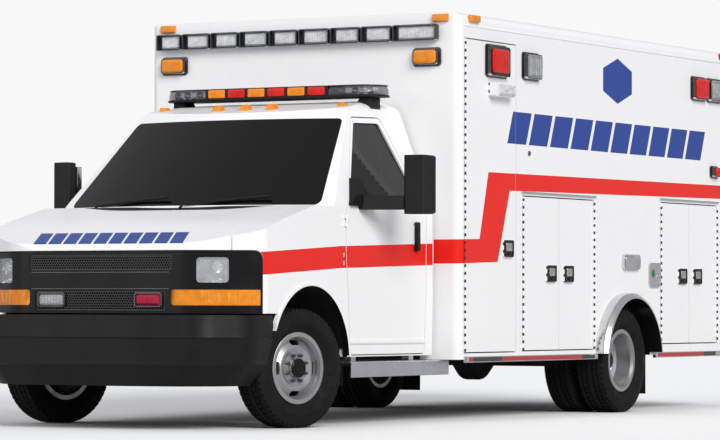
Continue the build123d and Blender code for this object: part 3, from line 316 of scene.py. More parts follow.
def coach_paint(colours):
    """Paint with the livery, a little dust low down, painted shade in the gaps of the hinges, and painted
    shade, near black, around the wheels.
    """
    paint = Finish("coach_paint", colours.coach_white, 0.28, Specular_IOR_Level=0.16)
    red, blue = livery(paint)
    low = paint.ranged(paint.z, 0.07, 0.0, 0.42, 0.60)
    dust = paint.all_of(low, paint.ranged(paint.noise(7.0, 4.0), 0.5, 1.0))
    body = paint.shaded(paint.colour, 0.012, 1.2)
    for mask, colour in (
        (red, (*colours.stripe_red, 1.0)), (blue, (*colours.mark_blue, 1.0)), (dust, (0.45, 0.43, 0.41, 1.0)),
        # painted shade: dark stripes in the hinge gaps, and near black around the wheels
        (hinge_gap_shade(paint), (0.05, 0.05, 0.05, 1.0)), (wheel_room_shade(paint), SHADOW),
    ):
        body = paint.mixed(mask, body, colour)
    paint.link(body, "Base Color")
    paint.uneven(0.26, 0.34, 3.0)
    paint.bump(paint.noise(220.0, 1.0), 0.02, 0.001)
    return paint


def plastic(name, colour, low, high, grain, strength, **sockets):
    """A dull moulded or cast surface between two roughnesses, with a fine grain."""
    made = Finish(name, colour, low, **{"Specular_IOR_Level": 0.22, **sockets})
    return made.worn((0.35, 5.0), (low, high, 7.0), (grain, 2.0, strength, 0.001))


def black_finishes(black):
    """Plastics, rubber, castings and painted steel."""
    return {
        "bumper_plastic": plastic("bumper_plastic", black, 0.36, 0.50, 900.0, 0.18),
        "fascia_plastic": plastic("fascia_plastic", (0.008, 0.008, 0.009), 0.16, 0.28, 500.0, 0.05),
        "trim_plastic": plastic("trim_plastic", (0.012, 0.012, 0.013), 0.42, 0.60, 700.0, 0.25),
        "frame_paint": plastic("frame_paint", (0.010, 0.010, 0.011), 0.45, 0.65, 120.0, 0.3),
        "rubber": plastic("rubber", (0.010, 0.010, 0.010), 0.60, 0.80, 400.0, 0.2),
        "cast_metal": plastic("cast_metal", (0.09, 0.09, 0.095), 0.5, 0.7, 260.0, 0.5, Metallic=0.7),
        "dark_metal": plastic("dark_metal", (0.16, 0.16, 0.165), 0.26, 0.38, 300.0, 0.12, Metallic=0.85),
        "mesh_gloss": plastic(
            "mesh_gloss", (0.022, 0.022, 0.023), 0.20, 0.34, 300.0, 0.05, Specular_IOR_Level=0.6
        ),
        # deep_black: black without gloss, painted shade behind the grille, and the colour of the front brake
        # discs
        "deep_black": plastic(
            "deep_black", (0.002, 0.002, 0.002), 0.7, 0.9, 100.0, 0.1, Specular_IOR_Level=0.0
        ),
    }


def metal_finishes():
    """Bright metals with a brushed grain."""
    table = {}
    for name, colour, low, high in (
        ("chrome", (0.78, 0.79, 0.80), 0.05, 0.12),
        ("aluminium", (0.72, 0.72, 0.72), 0.20, 0.34),
        ("tread_plate", (0.66, 0.66, 0.67), 0.22, 0.40),
    ):
        made = Finish(name, colour, low, 1.0)
        table[name] = made.worn((0.12, 6.0), (low, high, 30.0), (60.0, 2.0, 0.03, 0.001), (1.0, 0.06, 1.0))
    return table


def lens_finishes(colours):
    """Moulded lenses with fine ribs inside, and window glass."""
    table = {}
    for name, colour, alpha, rough in (
        ("clear_lens", (0.88, 0.90, 0.91), 0.30, 0.04),
        ("row_lens", (0.86, 0.87, 0.88), 0.80, 0.06),
        ("red_lens", colours.lamp_red, 0.94, 0.10),
        ("amber_lens", colours.lamp_amber, 0.94, 0.10),
        ("strobe_red", (0.50, 0.010, 0.05), 0.90, 0.10),
        ("amber_bright", (1.0, 0.42, 0.05), 0.95, 0.15),
        ("smoked_lens", (0.10, 0.11, 0.12), 0.55, 0.04),
    ):
        lens = Finish(name, colour, rough, Alpha=alpha, Specular_IOR_Level=0.35)
        ribs = lens.node(
            "ShaderNodeTexWave", {"Vector": lens.place.outputs["Object"], "Scale": 26.0}, bands_direction="Z"
        )
        lens.link(lens.shaded(lens.colour, 0.25, 22.0), "Base Color")
        lens.bump(ribs.outputs[1], 0.12, 0.002)
        table[name] = lens
    for name, grey, alpha in (("screen_glass", 0.003, 0.93), ("side_glass", 0.006, 0.86)):
        pane = Finish(name, (grey, grey, grey), 0.02, Alpha=alpha, IOR=1.5, Specular_IOR_Level=0.30)
        table[name] = pane.worn((0.3, 2.0), (0.015, 0.05, 3.0))
    return table


def lamp_shell():
    """Lamp bodies: painted shade, dark inside, and a painted highlight, bright where they face down."""
    shell = Finish("lamp_shell", (0.10, 0.10, 0.105), 0.22, 0.85)
    lit = shell.node("ShaderNodeSeparateXYZ", {0: shell.place.outputs["Normal"]}).outputs[2]
    dark = shell.shaded(shell.colour, 0.3, 30.0)
    # faces that point down get a bright painted highlight; the rest is painted dark as shade
    shell.link(shell.mixed(shell.below(lit, -0.5), dark, (0.80, 0.81, 0.82, 1.0)), "Base Color")
    shell.uneven(0.14, 0.28, 18.0)
    return shell


def seat_cloth():
    """Woven cloth."""
    cloth = Finish("seat_cloth", (0.16, 0.165, 0.175), 0.9, Sheen_Weight=0.3)
    weave = cloth.node("ShaderNodeTexVoronoi", {"Vector": cloth.place.outputs["Object"], "Scale": 420.0})
    cloth.link(cloth.shaded(cloth.colour, 0.35, 40.0), "Base Color")
    cloth.bump(weave.outputs[0], 0.4, 0.001)
    return cloth


# reflective rail under the box: spans of Y from the bumper's face
RED_SPANS = ((2.69, 2.75), (3.16, 4.36), (5.60, 6.40))
DARK_SPANS = ((2.75, 3.16), (4.36, 4.56), (6.40, 6.62))


def rail_and_trim():
    """Bright trim, with the red and dark spans of the lower rail, and painted shade, near black, under the
    flare around the rear wheel.
    """
    trim = Finish("rail_and_trim", (0.74, 0.74, 0.74), 0.24, 1.0)
    rail = trim.all_of(trim.between(trim.z, 0.386, 0.414), trim.above(trim.math("ABSOLUTE", trim.x), 1.205))

    def on_rail(spans):
        """Mask of spans along the rail."""
        parts = [trim.between(trim.y, from_front(start), from_front(end)) for start, end in spans]
        return trim.all_of(rail, trim.any_of(*parts))

    red, dark = on_rail(RED_SPANS), on_rail(DARK_SPANS)
    # painted shade under the flare around the rear wheel: SHADOW colour and not metallic
    under = near_axle(trim, REAR_ARCH, 0.4385)
    fill = trim.mixed(red, trim.shaded(trim.colour, 0.12, 5.0), (0.42, 0.02, 0.03, 1.0))
    fill = trim.mixed(dark, fill, (0.03, 0.03, 0.03, 1.0))
    trim.link(trim.mixed(under, fill, SHADOW), "Base Color")
    trim.link(trim.math("SUBTRACT", 1.0, trim.any_of(under, red, dark)), "Metallic")
    trim.uneven(0.16, 0.26, 9.0)
    trim.bump(trim.noise(40.0, 1.0, (1.0, 0.05, 1.0)), 0.01, 0.0005)
    return trim


def make_finishes(colours):
    """Every material of the vehicle, by the name that the tables use."""
    tyre = Finish("tyre_rubber", colours.tread_black, 0.72, Specular_IOR_Level=0.18)
    steel = Finish("wheel_steel", colours.steel_silver, 0.34, 0.75)
    cap = Finish("cap_green", (0.03, 0.22, 0.07), 0.45)
    table = {
        "coach_paint": coach_paint(colours),
        "tyre_rubber": tyre.worn((0.4, 14.0), (0.62, 0.82, 20.0), (700.0, 3.0, 0.25, 0.001)),
        "wheel_steel": steel.worn((0.18, 9.0), (0.28, 0.44, 12.0), (500.0, 2.0, 0.10, 0.0008)),
        "cap_green": cap.worn((0.25, 30.0), (0.38, 0.55, 20.0)),
        "lamp_shell": lamp_shell(),
        "seat_cloth": seat_cloth(),
        "rail_and_trim": rail_and_trim(),
        **black_finishes(colours.plastic_black),
        **metal_finishes(),
        **lens_finishes(colours),
    }
    finishes.update({name: made.material for name, made in table.items()})


# CAD nodes by finish; the others have the coach paint
FINISH_NODES = {
    "amber_lens": "amber_lamps", "red_lens": "red_lamps", "clear_lens": "clear_lamps headlamps",
    "chrome": "lamp_housings", "seat_cloth": "cab_interior", "screen_glass": "windshield",
    "side_glass": "curb_entry_glass door_glass_left door_glass_right rear_glass_left rear_glass_right",
    "frame_paint": "chassis_frame fuel_tank", "aluminium": "compartment_liners module_floor",
    "trim_plastic": "cowl_and_wipers lightbar mirror_left mirror_right wheelhouse_liners",
    "bumper_plastic": "front_bumper", "fascia_plastic": "front_fascia grille",
    "wheel_steel": "front_rim_left front_rim_right rear_rims_left rear_rims_right",
    "cast_metal": "front_suspension knuckle_left knuckle_right rear_axle powertrain",
    "tread_plate": "rear_step running_boards", "rubber": "rubber_guards", "rail_and_trim": "side_trim",
    "tyre_rubber": "front_tyre_left front_tyre_right rear_tyres_left rear_tyres_right",
}


def dress(piece, finish):
    """Gives a piece one material."""
    piece.data.materials.clear()
    piece.data.materials.append(finishes[finish])


# Making shapes
def clear_selection():
    """Leaves edit mode and deselects everything."""
    if bpy.context.object and bpy.context.object.mode != "OBJECT":
        bpy.ops.object.mode_set(mode="OBJECT")
    bpy.ops.object.select_all(action="DESELECT")


def only(piece):
    """Selects one piece and makes it active."""
    clear_selection()
    piece.select_set(True)
    bpy.context.view_layer.objects.active = piece


def edit(piece):
    """Opens a piece with all of it selected."""
    only(piece)
    bpy.ops.object.mode_set(mode="EDIT")
    bpy.ops.mesh.select_all(action="SELECT")


def close_edit():
    bpy.ops.object.mode_set(mode="OBJECT")


def place(piece):
    """Puts the piece's turn, size and place into its mesh."""
    only(piece)
    bpy.ops.object.transform_apply(location=True, rotation=True, scale=True)
    return piece


def apply(piece, kind, **settings):
    """Adds a modifier and applies it."""
    only(piece)
    added = piece.modifiers.new(kind.title(), kind)
    for setting, value in settings.items():
        setattr(added, setting, value)
    bpy.ops.object.modifier_apply(modifier=added.name)
    return piece


def softened(piece, width, segments=2, angle=35):
    """Rounds the piece's sharp edges."""
    return apply(
        piece, "BEVEL", width=width, segments=segments, limit_method="ANGLE",
        angle_limit=math.radians(angle), harden_normals=False,
    )


def face_outward(piece):
    """Joins what touches and turns all faces outward."""
    edit(piece)
    bpy.ops.mesh.remove_doubles(threshold=0.00002)
    bpy.ops.mesh.normals_make_consistent(inside=False)
    close_edit()
    return piece


def loop_of(name, points, filled=True):
    """A face or a closed line through the points, from a circle with as many corners."""
    clear_selection()
    fill = "NGON" if filled else "NOTHING"
    bpy.ops.mesh.primitive_circle_add(vertices=len(points), radius=1, fill_type=fill)
    piece = bpy.context.object
    piece.name = piece.data.name = name
    for vertex, point in zip(piece.data.vertices, points):
        vertex.co = point
    return piece


def extrude(step):
    """Extrudes what is selected along a step."""
    bpy.ops.mesh.extrude_region_move(TRANSFORM_OT_translate={"value": tuple(step)})


def pulled(name, points, step):
    """A solid pulled from a flat outline along a step."""
    piece = loop_of(name, points)
    edit(piece)
    extrude(step)
    close_edit()
    return face_outward(piece)


def spun(name, rows, steps):
    """A ring of rows of X and radius, turned about the X axis."""
    piece = loop_of(name, [Vector((x, 0, r)) for x, r in rows], filled=False)
    edit(piece)
    bpy.ops.mesh.spin(steps=steps, angle=2 * math.pi, center=(0, 0, 0), axis=(1, 0, 0))
    close_edit()
    return face_outward(piece)


def slab(name, x0, x1, y0, y1, z0, z1, edge=0.0, segments=2):
    """A block between two corners with its edges rounded; Y from the bumper's face."""
    clear_selection()
    middle = ((x0 + x1) / 2, from_front((y0 + y1) / 2), (z0 + z1) / 2)
    bpy.ops.mesh.primitive_cube_add(size=1, location=middle, scale=(abs(x1 - x0), abs(y1 - y0), abs(z1 - z0)))
    piece = bpy.context.object
    piece.name = piece.data.name = name
    place(piece)
    if edge:
        softened(piece, edge, segments)
    return piece


def pin(name, radius, start, end, corners=24, edge=0.0):
    """A round bar from one point to another, its rims rounded."""
    way = Vector(end) - Vector(start)
    clear_selection()
    bpy.ops.mesh.primitive_cylinder_add(
        vertices=corners, radius=radius, depth=way.length, location=(Vector(start) + Vector(end)) / 2,
        rotation=way.to_track_quat("Z", "Y").to_euler(),
    )
    piece = bpy.context.object
    piece.name = piece.data.name = name
    place(piece)
    if edge:
        softened(piece, edge)
    return piece


def copied(piece, name, matrix):
    """A copy with its own mesh, moved by a matrix."""
    twin = piece.copy()
    twin.data = piece.data.copy()
    twin.name = twin.data.name = name
    bpy.context.scene.collection.objects.link(twin)
    twin.data.transform(matrix)
    twin.data.update()
    return twin


def joined(name, pieces):
    """One piece from several."""
    clear_selection()
    for piece in pieces:
        piece.select_set(True)
    bpy.context.view_layer.objects.active = pieces[0]
    if len(pieces) > 1:
        bpy.ops.object.join()
    whole = bpy.context.object
    whole.name = whole.data.name = name
    return whole


def finished(piece, finish, body="chassis"):
    """Shading, material and body of a finished piece."""
    only(piece)
    bpy.ops.object.shade_smooth_by_angle(angle=math.radians(35))
    dress(piece, finish)
    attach(piece, body)
    return piece


def rounded(u0, u1, v0, v1, radius, steps=5):
    """Corners of a rectangle with round corners, as rows of U and V."""
    rows = []
    for u, v, start in (
        (u1 - radius, v0 + radius, -90), (u1 - radius, v1 - radius, 0),
        (u0 + radius, v1 - radius, 90), (u0 + radius, v0 + radius, 180),
    ):
        for step in range(steps + 1):
            angle = math.radians(start + 90 * step / steps)
            rows.append((u + radius * math.cos(angle), v + radius * math.sin(angle)))
    return rows


# Operators
class DressFrame(bpy.types.Operator):
    """Gives every CAD node its material"""

    bl_idname = "ambulance.dress_frame"
    bl_label = "Materials of the frame"

    def execute(self, context):
        make_finishes(context.scene.ambulance_colours)
        finish_of = {name: finish for finish, names in FINISH_NODES.items() for name in names.split()}
        for name, node in frame["nodes"].items():
            dress(node, finish_of.get(name, "coach_paint"))
        return {"FINISHED"}


# Places on the vehicle's faces: each takes U, V and the height off the face
BOX_HALF = 1.190
BOX_REAR = 6.960
NOSE = 0.205
FACES = {
    "street": (lambda u, v, w: Vector((BOX_HALF + w, from_front(u), v))),
    "curb": (lambda u, v, w: Vector((-BOX_HALF - w, from_front(u), v))),
    "front": (lambda u, v, w: Vector((u, from_front(BOX_FRONT - w), v))),
    "rear": (lambda u, v, w: Vector((u, from_front(BOX_REAR + w), v))),
    "nose": (lambda u, v, w: Vector((u, from_front(NOSE - w), v))),
}


def pulled_off(name, face, outline, low, high):
    """A plate on a face between two heights, open in edit mode with its outer face selected."""
    at = FACES[face]
    piece = loop_of(name, [at(u, v, low) for u, v in outline])
    edit(piece)
    extrude(at(0, 0, high) - at(0, 0, low))
    return piece


def plate(name, face, outline, low, high, edge=0.0, segments=2):
    """A plate on a face with its edges rounded."""
    piece = pulled_off(name, face, outline, low, high)
    close_edit()
    face_outward(piece)
    return softened(piece, edge, segments) if edge else piece


def tray(name, face, outline, low, high, rim, sink, edge=0.0):
    """A plate with a raised rim around a sunk middle."""
    at = FACES[face]
    piece = pulled_off(name, face, outline, low, high)
    bpy.ops.mesh.inset(thickness=rim)
    extrude(at(0, 0, 0) - at(0, 0, sink))
    close_edit()
    face_outward(piece)
    return softened(piece, edge) if edge else piece


def crowned(name, face, outline, low, high, slope, edge=0.004):
    """A lens or cushion-topped plate: its sides rise, then lean in."""
    at = FACES[face]
    piece = pulled_off(name, face, outline, low, low + (high - low) * 0.6)
    bpy.ops.mesh.inset(thickness=slope)
    bpy.ops.transform.translate(value=tuple(at(0, 0, high) - at(0, 0, low + (high - low) * 0.6)))
    close_edit()
    face_outward(piece)
    return softened(piece, edge, 3, 20)


def ring(name, face, outline, low, high, width, edge=0.0):
    """A frame around an open middle."""
    at = FACES[face]
    piece = loop_of(name, [at(u, v, low) for u, v in outline])
    edit(piece)
    bpy.ops.mesh.inset(thickness=width)
    bpy.ops.mesh.delete(type="FACE")
    bpy.ops.mesh.select_all(action="SELECT")
    extrude(at(0, 0, high) - at(0, 0, low))
    close_edit()
    face_outward(piece)
    return softened(piece, edge) if edge else piece


def turned(name, rows, steps, centre, way):
    """A spun shape with its X axis turned to a direction."""
    piece = spun(name, rows, steps)
    way = Vector(way).normalized()
    side = Vector((0, 0, 1)).cross(way).normalized() if abs(way.z) < 0.9 else Vector((0, 1, 0))
    frame_of = Matrix((way, side, way.cross(side))).transposed().to_4x4()
    piece.data.transform(Matrix.Translation(centre) @ frame_of)
    return piece


def surface(node, start, way):
    """Where a line meets a CAD node."""
    hit, where, _, _ = frame["nodes"][node].ray_cast(Vector(start), Vector(way))
    if not hit:
        raise RuntimeError(f"no surface of {node} from {start}")
    return where


# Wheels
def wheel_places():
    """Rows of wheel end, side, tyre node, body, and a matrix at its middle with X pointing outward."""
    rows = []
    for joint in frame["joints"]:
        if joint["name"].startswith("spin_"):
            end, side = joint["name"].split("_")[1:]
            out = Vector(joint["axis"]).normalized() * (1 if side == "left" else -1)
            up = Vector((0, 0, 1))
            kind, wheel = ("tyre", "wheel") if end == "front" else ("tyres", "wheels")
            low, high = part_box(f"{end}_{kind}_{side}")
            turn = Matrix((out, up.cross(out), up)).transposed().to_4x4()
            matrix = Matrix.Translation((Vector(low) + Vector(high)) / 2) @ turn
            rows.append((end, side, f"{end}_{kind}_{side}", f"{end}_{wheel}_{side}", matrix))
    return rows


TWIN_OFFSET = 0.1275
TYRE_RADIUS = 0.366
# rows of X and radius of half a tyre, from the bead to the middle of the tread
SIDEWALL = [
    (0.0735, 0.2055), (0.0740, 0.224), (0.0800, 0.236), (0.0960, 0.252), (0.1065, 0.268), (0.1104, 0.284),
    (0.1112, 0.286), (0.1112, 0.290), (0.1102, 0.292), (0.1090, 0.308), (0.1050, 0.325), (0.1035, 0.328),
    (0.1020, 0.340), (0.0990, 0.353), (0.0935, 0.3625), (0.0860, 0.3652), (0.0640, 0.3660),
]
# rows of the X where a groove starts and ends
GROOVES = ((0.0640, 0.0550), (0.0250, 0.0160))
GROOVE_SLANT = 0.0015
TYRE_STEPS = 168
# rows of sunk faces: X from, X to, share of the tread's depth, turn against the other side
NOTCHES = ((0.080, 0.101, 1.0, 0), (0.026, 0.053, 0.55, 1))


def tyre_rows(depth):
    """The whole section of a tyre, with its grooves."""
    half = list(SIDEWALL)
    for outer, inner in GROOVES:
        if half[-1][0] != outer:
            half.append((outer, TYRE_RADIUS))
        floor = TYRE_RADIUS - depth
        half += [(outer - GROOVE_SLANT, floor), (inner + GROOVE_SLANT, floor), (inner, TYRE_RADIUS)]
    return half + [(-x, r) for x, r in reversed(half)]


class MakeTyres(bpy.types.Operator):
    """Tyres with grooves around the tread, notched shoulders and ribbed sidewalls"""

    bl_idname = "ambulance.make_tyres"
    bl_label = "Tyres"

    def execute(self, context):
        depth = context.scene.ambulance_sizes.tread_depth
        tyre = spun("tyre", tyre_rows(depth), TYRE_STEPS)
        self.notch(tyre, depth)
        for end, _, node, body, matrix in wheel_places():
            places = (TWIN_OFFSET, -TWIN_OFFSET) if end == "rear" else (0.0,)
            copies = [copied(tyre, "tyre_copy", matrix @ Matrix.Translation((x, 0, 0))) for x in places]
            piece = joined(f"{node}_treaded", copies)
            finished(piece, "tyre_rubber", body)
            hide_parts(node)
        bpy.data.objects.remove(tyre)
        return {"FINISHED"}

    def notch(self, tyre, depth):
        """Sinks every third face of the shoulders, and of the middle ribs half as deep."""
        for low, high, share, turn in NOTCHES:
            edit(tyre)
            bpy.ops.mesh.select_mode(type="FACE")
            bpy.ops.mesh.select_all(action="DESELECT")
            close_edit()
            for face in tyre.data.polygons:
                x, y, z = face.center
                step = int((math.atan2(z, y) / (2 * math.pi) % 1.0) * TYRE_STEPS + 0.25)
                side = turn if x > 0 else turn + 1
                face.select = low < abs(x) < high and math.hypot(y, z) > 0.350 and step % 3 == side % 3
            bpy.ops.object.mode_set(mode="EDIT")
            bpy.ops.mesh.extrude_region_shrink_fatten(TRANSFORM_OT_shrink_fatten={"value": -depth * share})
            close_edit()


NUT_COUNT = 8
NUT_CIRCLE = 0.0825
# where the nuts seat, outward of a wheel's middle
NUT_SEAT = {"front": 0.068, "rear": 0.024}
# rows of X and radius
BRAKE_DISC = [(-0.010, 0.072), (-0.010, 0.172), (-0.002, 0.172), (-0.002, 0.072)]
HUB_COVERS = {
    "front": [
        (0.070, 0.0), (0.070, 0.0585), (0.088, 0.0585), (0.091, 0.055), (0.091, 0.040), (0.096, 0.036),
        (0.097, 0.0),
    ],
    "rear": [
        (0.100, 0.0), (0.100, 0.0605), (0.112, 0.0605), (0.116, 0.056), (0.116, 0.036), (0.123, 0.030),
        (0.124, 0.0),
    ],
}


class MakeWheelNuts(bpy.types.Operator):
    """Nuts, studs and hub covers of the wheels, and the front brake discs"""

    bl_idname = "ambulance.make_wheel_nuts"
    bl_label = "Wheel nuts and hubs"

    def execute(self, context):
        nut = self.nut(context.scene.ambulance_sizes.nut_size)
        for end, side, _, body, matrix in wheel_places():
            parts = []
            for index in range(NUT_COUNT):
                turn = Matrix.Rotation(2 * math.pi * (index + 0.5) / NUT_COUNT, 4, "X")
                seat = Matrix.Translation((NUT_SEAT[end], 0, NUT_CIRCLE))
                parts.append(copied(nut, "nut_copy", matrix @ turn @ seat))
            nuts = joined(f"{end}_nuts_{side}", parts)
            finished(nuts, "dark_metal", body)
            if end == "front":
                disc = spun(f"front_brake_disc_{side}", BRAKE_DISC, 48)
                disc.data.transform(matrix)
                finished(disc, "deep_black", body)
            cap = spun(f"{end}_hub_cover_{side}", HUB_COVERS[end], 40)
            cap.data.transform(matrix)
            finished(cap, "fascia_plastic", body)
        bpy.data.objects.remove(nut)
        return {"FINISHED"}

    def nut(self, size):
        """A six-sided nut, leaning in outward, with the end of its stud."""
        clear_selection()
        bpy.ops.mesh.primitive_cone_add(
            vertices=6, radius1=size, radius2=size * 0.82, depth=0.026, location=(0, 0, 0),
            rotation=(0, math.pi / 2, 0),
        )
        nut = softened(place(bpy.context.object), 0.0015)
        rows = [(0.010, 0.0), (0.010, size * 0.5), (0.019, size * 0.5), (0.021, size * 0.38), (0.021, 0.0)]
        return joined("nut", [nut, spun("stud", rows, 10)])


# Front
# rows: half width, Z from, Z to
GRILLE_BANDS = ((0.514, 0.958, 1.054), (0.469, 0.713, 0.835))
# rows: name, X from, X to, Z from, Z to, finish, slot
STROBES = (
    ("grille_strobe_red", 0.252, 0.452, 0.735, 0.826, "strobe_red", "red_lens"),
    ("grille_strobe_clear", -0.452, -0.252, 0.735, 0.826, "clear_lens", "clear_lens"),
)


class MakeGrille(bpy.types.Operator):
    """Honeycomb grille in two bands with its frames and the bar between them"""

    bl_idname = "ambulance.make_grille"
    bl_label = "Grille"

    def execute(self, context):
        pitch = context.scene.ambulance_sizes.mesh_pitch
        parts, void_shades = [], []
        for half, low, high in GRILLE_BANDS:
            parts.append(self.honeycomb(pitch, half, low, high))
            outline = rounded(-half, half, low, high, 0.012)
            parts.append(ring("band_frame", "nose", outline, -0.022, -0.005, 0.009, 0.002))
            inner = rounded(-half + 0.01, half - 0.01, low + 0.01, high - 0.01, 0.01)
            # a flat black plate without gloss behind each band of mesh: painted shade where the grille is
            # open
            void_shades.append(plate("void_shade", "nose", inner, -0.036, -0.030, 0.001))
        grille = joined("grille_honeycomb", parts)
        finished(grille, "mesh_gloss")
        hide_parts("grille")
        finished(joined("grille_void_shade", void_shades), "deep_black")
        lines = [self.line_on_fascia(z, 0.50) for z in (0.846, 0.945)]
        finished(joined("grille_bar_lines", lines), "dark_metal")
        return {"FINISHED"}

    def honeycomb(self, pitch, half, low, high):
        """Rows of six-sided cells, trimmed to the band."""
        rise = pitch * math.sqrt(3) / 2
        clear_selection()
        bpy.ops.mesh.primitive_circle_add(
            vertices=6, radius=pitch / math.sqrt(3), fill_type="NGON", location=(0, 0, 0),
            rotation=(math.pi / 2, 0, 0),
        )
        cell = place(bpy.context.object)
        cell.data.transform(Matrix.Translation((-half, from_front(NOSE + 0.008), low)))
        edit(cell)
        bpy.ops.mesh.inset(thickness=pitch * 0.13)
        bpy.ops.mesh.delete(type="FACE")
        bpy.ops.mesh.select_all(action="SELECT")
        extrude((0, 0.011, 0))
        close_edit()
        face_outward(cell)
        across = int(2 * half / pitch) + 2
        up = int((high - low) / (2 * rise)) + 2
        self.row(cell, across, (pitch, 0, 0))
        other = copied(cell, "other_row", Matrix.Translation((pitch / 2, 0, rise)))
        cell = joined("honeycomb", [cell, other])
        self.row(cell, up, (0, 0, 2 * rise))
        for point, normal in (
            ((-half + 0.006, 0, 0), (-1, 0, 0)), ((half - 0.006, 0, 0), (1, 0, 0)),
            ((0, 0, low + 0.006), (0, 0, -1)), ((0, 0, high - 0.006), (0, 0, 1)),
        ):
            edit(cell)
            bpy.ops.mesh.bisect(plane_co=point, plane_no=normal, clear_outer=True, use_fill=False)
            close_edit()
        return cell

    def row(self, piece, count, step):
        """Repeats a piece along a step."""
        apply(
            piece, "ARRAY", count=count, use_relative_offset=False, use_constant_offset=True,
            constant_offset_displace=step,
        )

    def line_on_fascia(self, z, half):
        """A thin raised line that follows the front face."""
        steps = 24
        xs = [half * (2 * i / steps - 1) for i in range(steps + 1)]
        rows = [surface("front_fascia", (x, -4, z), (0, 1, 0)) for x in xs]
        front = [p + Vector((0, -0.0025, 0)) for p in rows]
        outline = front + [p + Vector((0, 0.004, 0)) for p in reversed(rows)]
        return pulled("line", [(p.x, p.y, z) for p in outline], (0, 0, 0.004))


# rows of X and radius of a cup and of the bulb in it
LAMP_CUP = [(0.0, 0.037), (0.004, 0.037), (-0.026, 0.016), (-0.026, 0.0), (-0.030, 0.0), (-0.030, 0.018)]
LAMP_BULB = [(-0.026, 0.0), (-0.026, 0.007), (0.004, 0.007), (0.010, 0.0)]
LAMP_FLUTES = (0.706, 0.722, 0.822, 0.838, 0.854)


class MakeFrontLamps(bpy.types.Operator):
    """Reflectors of the headlamps, ribs of the turn lamps and the two lamps in the grille"""

    bl_idname = "ambulance.make_front_lamps"
    bl_label = "Front lamps"

    def execute(self, context):
        at = FACES["nose"]
        for sign, side in ((1, "left"), (-1, "right")):
            self.headlamp(sign, side)
            self.turn_lamp(sign, side)
        frames = []
        for name, x0, x1, z0, z1, finish, slot in STROBES:
            inner = rounded(x0 + 0.014, x1 - 0.014, z0 + 0.014, z1 - 0.014, 0.012)
            lens = crowned(name, "nose", inner, -0.006, 0.012, 0.010)
            xs = (x0 + (x1 - x0) * i / 9 for i in range(2, 8))
            ribs = [pin("rib", 0.0028, at(x, z0 + 0.028, 0.0115), at(x, z1 - 0.028, 0.0115), 8) for x in xs]
            finished(joined(name, [lens, *ribs]), finish)
            outer = rounded(x0, x1, z0, z1, 0.018)
            frames.append(ring("strobe_frame", "nose", outer, -0.008, 0.008, 0.010, 0.003))
            for x in (x0 + 0.012, x1 - 0.012):
                for z in (z0 + 0.012, z1 - 0.012):
                    frames.append(pin("screw", 0.0045, at(x, z, 0.0100), at(x, z, 0.0128), 10, 0.0008))
        finished(joined("grille_strobe_frames", frames), "dark_metal")
        return {"FINISHED"}

    def headlamp(self, sign, side):
        """A stepped reflector with two cups behind the clear lens."""
        lens = frame["nodes"]["headlamps"]

        def behind(u, v, off):
            """The place behind the lens, drawn in to where the lens is."""
            for step in range(60):
                reach = u - 0.003 * step
                hit, where, _, _ = lens.ray_cast(Vector((sign * reach, -4, v)), Vector((0, 1, 0)))
                if hit:
                    break
            return Vector((sign * (reach - 0.004 * (step > 0)), where.y + off, v))

        outline = [behind(u, v, 0.023) for u, v in rounded(0.680, 0.873, 0.849, 1.025, 0.02)]
        far = max(point.y for point in outline) + 0.045
        bowl = loop_of("bowl", outline)
        edit(bowl)
        bpy.ops.mesh.inset(thickness=0.005)
        bpy.ops.mesh.extrude_region_move()
        bpy.ops.transform.resize(value=(0.80, 0.02, 0.80))
        close_edit()
        chosen = [vertex for vertex in bowl.data.vertices if vertex.select]
        middle = sum(vertex.co.y for vertex in chosen) / len(chosen)
        for vertex in chosen:
            vertex.co.y += far - middle
        apply(bowl, "SOLIDIFY", thickness=0.003, offset=0)
        cups = []
        for z in (0.979, 0.895):
            centre = behind(0.768, z, 0.034)
            cups.append(turned("cup", LAMP_CUP, 28, centre, (0, -1, 0)))
            cups.append(turned("bulb", LAMP_BULB, 14, centre, (0, -1, 0)))
        for u in LAMP_FLUTES:
            cups.append(pin("flute", 0.004, behind(u, 0.858, 0.030), behind(u, 1.016, 0.030), 8))
        lamp = joined(f"headlamp_reflector_{side}", [bowl, *cups])
        finished(face_outward(lamp), "chrome")

    def turn_lamp(self, sign, side):
        """Raised dividers and a brighter middle cell across the amber lens."""
        def on_lens(x, z, off=0.0):
            return surface("amber_lamps", (sign * x, -4, z), (0, 1, 0)) + Vector((0, off, 0))

        parts = []
        for x in (0.700, 0.872, 0.965):
            parts.append(pin("divider", 0.0032, on_lens(x, 0.752), on_lens(x, 0.838), 10))
        for x in (0.735, 0.785, 0.835):
            parts.append(pin("flute", 0.006, on_lens(x, 0.764, 0.003), on_lens(x, 0.826, 0.003), 12))
        finished(joined(f"turn_lamp_ribs_{side}", parts), "amber_bright")


# Lamps on the box
# where the units of the front row meet
LAMP_ROW_EDGES = (-1.125, -0.919, -0.691, -0.465, -0.233, -0.003, 0.240, 0.473, 0.712, 1.046)
LAMP_ROW_Z = (2.474, 2.582)
